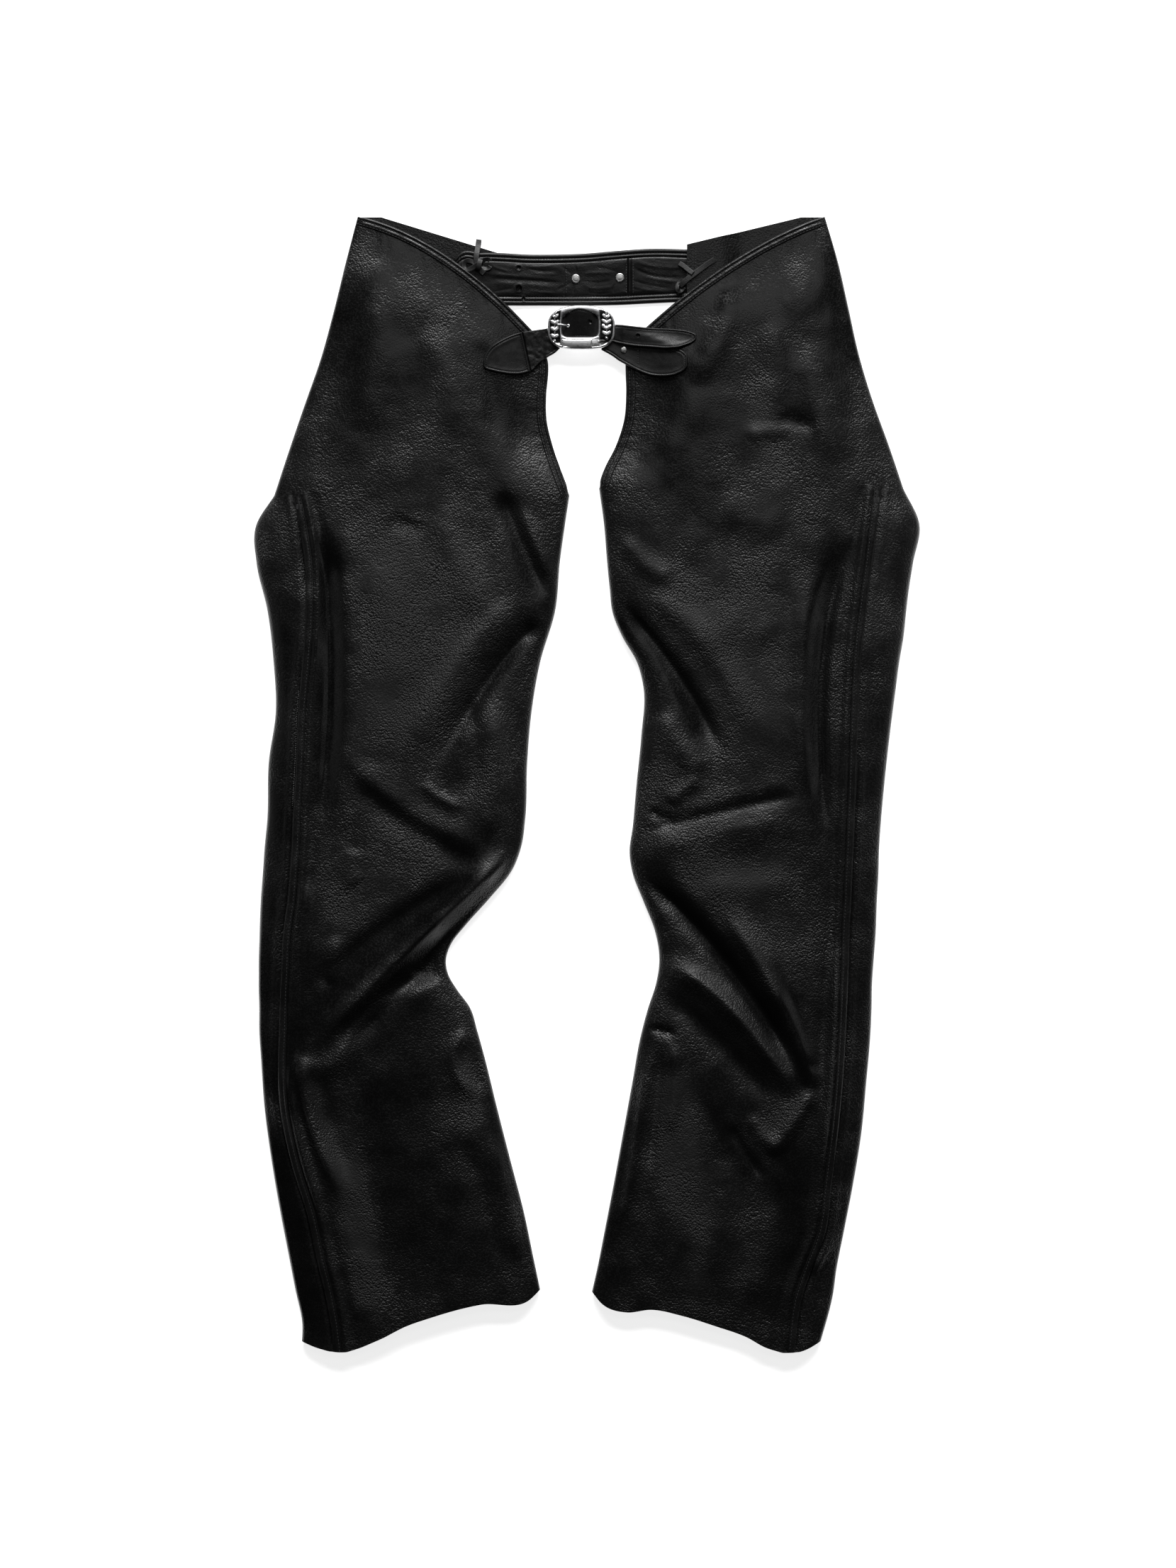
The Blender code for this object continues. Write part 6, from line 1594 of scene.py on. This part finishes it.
def through(points, count):
    """Evenly spaced places on a smooth curve through a few points."""
    points = np.array(points, float)
    length = np.concatenate([[0], np.cumsum(np.linalg.norm(np.diff(points, axis=0), axis=1))])
    fine = np.stack([smooth(length, points[:, k], np.linspace(0, length[-1], 400)) for k in range(3)], -1)
    long = np.concatenate([[0], np.cumsum(np.linalg.norm(np.diff(fine, axis=0), axis=1))])
    return np.stack([np.interp(np.linspace(0, long[-1], count), long, fine[:, k]) for k in range(3)], -1)


def thong(name, route, roll, finishes, width=LACE_WIDTH, thick=LACE_THICK):
    """A flat thong along a route, rolled about it by an angle at each place, with rounded edges."""
    run = unit(np.gradient(route, axis=0))
    aside = unit(np.cross(run, np.array([0.0, 0.0, 1.0])))
    up = np.cross(aside, run)
    roll = np.broadcast_to(roll, len(route))[:, None]
    wide = aside * np.cos(roll) + up * np.sin(roll)
    tall = up * np.cos(roll) - aside * np.sin(roll)
    angle = np.arange(20) * 2 * math.pi / 20
    c, s = np.cos(angle), np.sin(angle)
    across = np.sign(c) * np.abs(c) ** 0.45 * width / 2
    high = np.sign(s) * np.abs(s) ** 0.6 * thick / 2 + 0.12 * np.cos(2 * angle)
    rings = route[:, None] + wide[:, None] * across[None, :, None] + tall[:, None] * high[None, :, None]
    return loft(name, rings, finishes["lace"], "lace_leather")


def join_pieces(name, pieces):
    """One object of several, which then leave the scene."""
    points, faces, base = [], [], 0
    for piece in pieces:
        mesh = piece.data
        points += [tuple(v.co) for v in mesh.vertices]
        faces += [tuple(base + i for i in p.vertices) for p in mesh.polygons]
        base = len(points)
    mesh = bpy.data.meshes.new(name)
    mesh.from_pydata(points, [], faces)
    mesh.polygons.foreach_set("use_smooth", np.ones(len(faces), bool))
    mesh.materials.append(pieces[0].data.materials[0])
    joined = bpy.data.objects.new(name, mesh)
    bpy.context.scene.collection.objects.link(joined)
    for piece in pieces:
        bpy.data.objects.remove(piece)
    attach(joined, "root")
    return joined


def build_laces(finishes):
    """Both laces, and their knots: flat loops laid over each other with a turn round them."""
    t = np.linspace(0.3, 2 * math.pi - 0.25, 90)
    loops = np.stack([-104.0 + 12.6 * np.cos(t), 487.6 + 4.4 * np.sin(2 * t) + 0.8 * np.cos(t),
                      7.3 + 1.25 * np.sin(t) + 0.3 * np.cos(3 * t)], -1)
    s = np.linspace(-0.35, math.pi + 0.35, 30)
    turn = np.stack([-102.2 + 1.6 * np.cos(s), 487.6 + 5.2 * np.cos(s), 7.4 + 2.7 * np.sin(s)], -1)
    left_knot = join_pieces("knot_left_leather", [
        thong("loops", loops, 0.5 * np.sin(1.5 * t), finishes, 4.4, 1.4),
        thong("turn", turn, 0.0, finishes, 4.8, 1.3)])
    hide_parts("lace_knot_left")
    loops = np.stack([87.4 + 3.4 * np.cos(t) + 1.5 * np.sin(t), 468.0 + 5.0 * np.sin(t),
                      5.0 + 1.0 * np.sin(2 * t)], -1)
    cross = through(((85.6, 489.4, 4.6), (89.4, 487.0, 5.4), (94.0, 483.0, 6.6), (98.6, 479.4, 8.2)), 30)
    right_knot = join_pieces("knot_right_leather", [
        thong("loops", loops, 0.4 * np.cos(t), finishes, 3.8, 1.4),
        thong("cross", cross, 0.1, finishes, 4.6, 1.4)])
    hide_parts("lace_knot_right")
    for side, points, knot in (("left", LACE_LEFT, left_knot), ("right", LACE_RIGHT, right_knot)):
        route = through(points, 36)
        lace = thong("lace_%s_leather" % side, route, 0.12 * np.sin(np.linspace(0, 5, 36)), finishes)
        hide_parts("lace_" + side)


# Scene

def build_camera():
    """Straight above the garment, far enough off to look flat, framed as the photograph is."""
    data = bpy.data.cameras.new("camera")
    data.sensor_fit = "HORIZONTAL"
    data.sensor_width = 36.0
    distance = 3.2
    data.lens = 36.0 * distance / 1.1032
    data.clip_end = 20.0
    camera = bpy.data.objects.new("camera", data)
    camera.location = (-MIDDLE[0] * MM, -MIDDLE[1] * MM, distance + 0.01)
    bpy.context.scene.collection.objects.link(camera)
    bpy.context.scene.camera = camera
    return camera


def area_light(name, place, aim, size, power):
    """A soft rectangular light at a place, turned towards another."""
    data = bpy.data.lights.new(name, "AREA")
    data.shape = "RECTANGLE"
    data.size, data.size_y = size
    data.energy = power
    lamp = bpy.data.objects.new(name, data)
    lamp.location = place
    lamp.rotation_euler = (Vector(aim) - Vector(place)).to_track_quat("-Z", "Y").to_euler()
    bpy.context.scene.collection.objects.link(lamp)
    return lamp


def build_studio():
    """A pale floor, a large soft light from the top of the picture and a weak even sky."""
    size = 3.0
    mesh = bpy.data.meshes.new("floor")
    mesh.from_pydata([(-size, -size, -0.0004), (size, -size, -0.0004), (size, size, -0.0004),
                      (-size, size, -0.0004)], [], [(0, 1, 2, 3)])
    floor = bpy.data.objects.new("floor", mesh)
    bpy.context.scene.collection.objects.link(floor)
    paper = bpy.data.materials.new("paper")
    paper.use_nodes = True
    shader = paper.node_tree.nodes["Principled BSDF"]
    shader.inputs["Base Color"].default_value = (0.93, 0.93, 0.93, 1)
    shader.inputs["Roughness"].default_value = 0.9
    shader.inputs["Specular IOR Level"].default_value = 0.0
    shader.inputs["Emission Color"].default_value = (1, 1, 1, 1)
    shader.inputs["Emission Strength"].default_value = 0.8
    floor.data.materials.append(paper)
    floor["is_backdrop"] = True
    world = bpy.data.worlds.new("sky")
    world.use_nodes = True
    world.node_tree.nodes["Background"].inputs["Color"].default_value = (1, 1, 1, 1)
    world.node_tree.nodes["Background"].inputs["Strength"].default_value = 0.015
    bpy.context.scene.world = world
    area_light("key_light", (0.15, 1.25, 2.7), (0.0, 0.0, 0.0), (1.5, 0.6), 3.0)
    area_light("top_light", (0.3, 5.2, 3.0), (0.0, -0.1, 0.0), (4.6, 1.8), 470.0)
    area_light("left_light", (-2.2, 0.2, 0.55), (0.0, -0.1, 0.0), (0.5, 2.2), 1.0)
    area_light("right_light", (2.2, 0.2, 0.55), (0.0, -0.1, 0.0), (0.5, 2.2), 1.5)
    bpy.context.scene.view_settings.view_transform = "Standard"


def main():
    """Build the looks round the frame."""
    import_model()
    solid_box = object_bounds()
    build_camera()
    build_studio()
    grain = make_grain_group()
    finishes = {
        "panel": leather("panel_leather", 0.0025, 0.36, 600.0, 0.00024, 0.00008, grain),
        "band": leather("band_leather", 0.0025, 0.33, 1000.0, 0.00008, 0.00016, grain),
        "belt": leather("belt_leather", 0.0022, 0.34, 900.0, 0.00006, 0.00014, grain, shine=0.34),
        "strap": leather("strap_leather", 0.0022, 0.42, 1200.0, 0.00004, 0.00008, grain, shine=0.36),
        "lace": leather("lace_leather", 0.008, 0.5, 1000.0, 0.00005, 0.0002, grain),
        "chrome": metal("buckle_metal", (0.86, 0.86, 0.87), 0.36, 300.0),
        "steel": metal("rivet_steel", (0.75, 0.75, 0.74), 0.3, 500.0),
        "thread": thread_finish(),
    }
    build_laces(finishes)
    fronts = []
    for leg in (LEFT, RIGHT):
        (front, back), (front_cut, back_cut) = build_leg(leg, finishes)
        bands, rows = build_band(leg, finishes)
        strip, zip_rows = build_zip(leg, finishes)
        thread = stitches("stitching_" + leg.side, rows + zip_rows, finishes)
        fronts += [front, *bands]
    build_coil(LEFT, finishes)
    build_belt(finishes)
    build_heads(finishes)
    _, right_tab, tree, sewn = build_tabs(finishes, fronts)
    loop = build_loop(finishes)
    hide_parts("front_tab_right")
    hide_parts("front_tab_right")
    _, lines = build_tip_strap(finishes, tree_of(fronts + [right_tab]))
    stitches("stitching_straps", sewn + lines, finishes, 2.2, 1.6, 0.26)
    build_buckle(finishes)
    build_screw(finishes, tree_of([right_tab]))
    bpy.context.view_layer.update()
    boxes = {"solids": solid_box, "looks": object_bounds()}
    boxes = {name: [list(corner) for corner in box] for name, box in boxes.items()}


main()
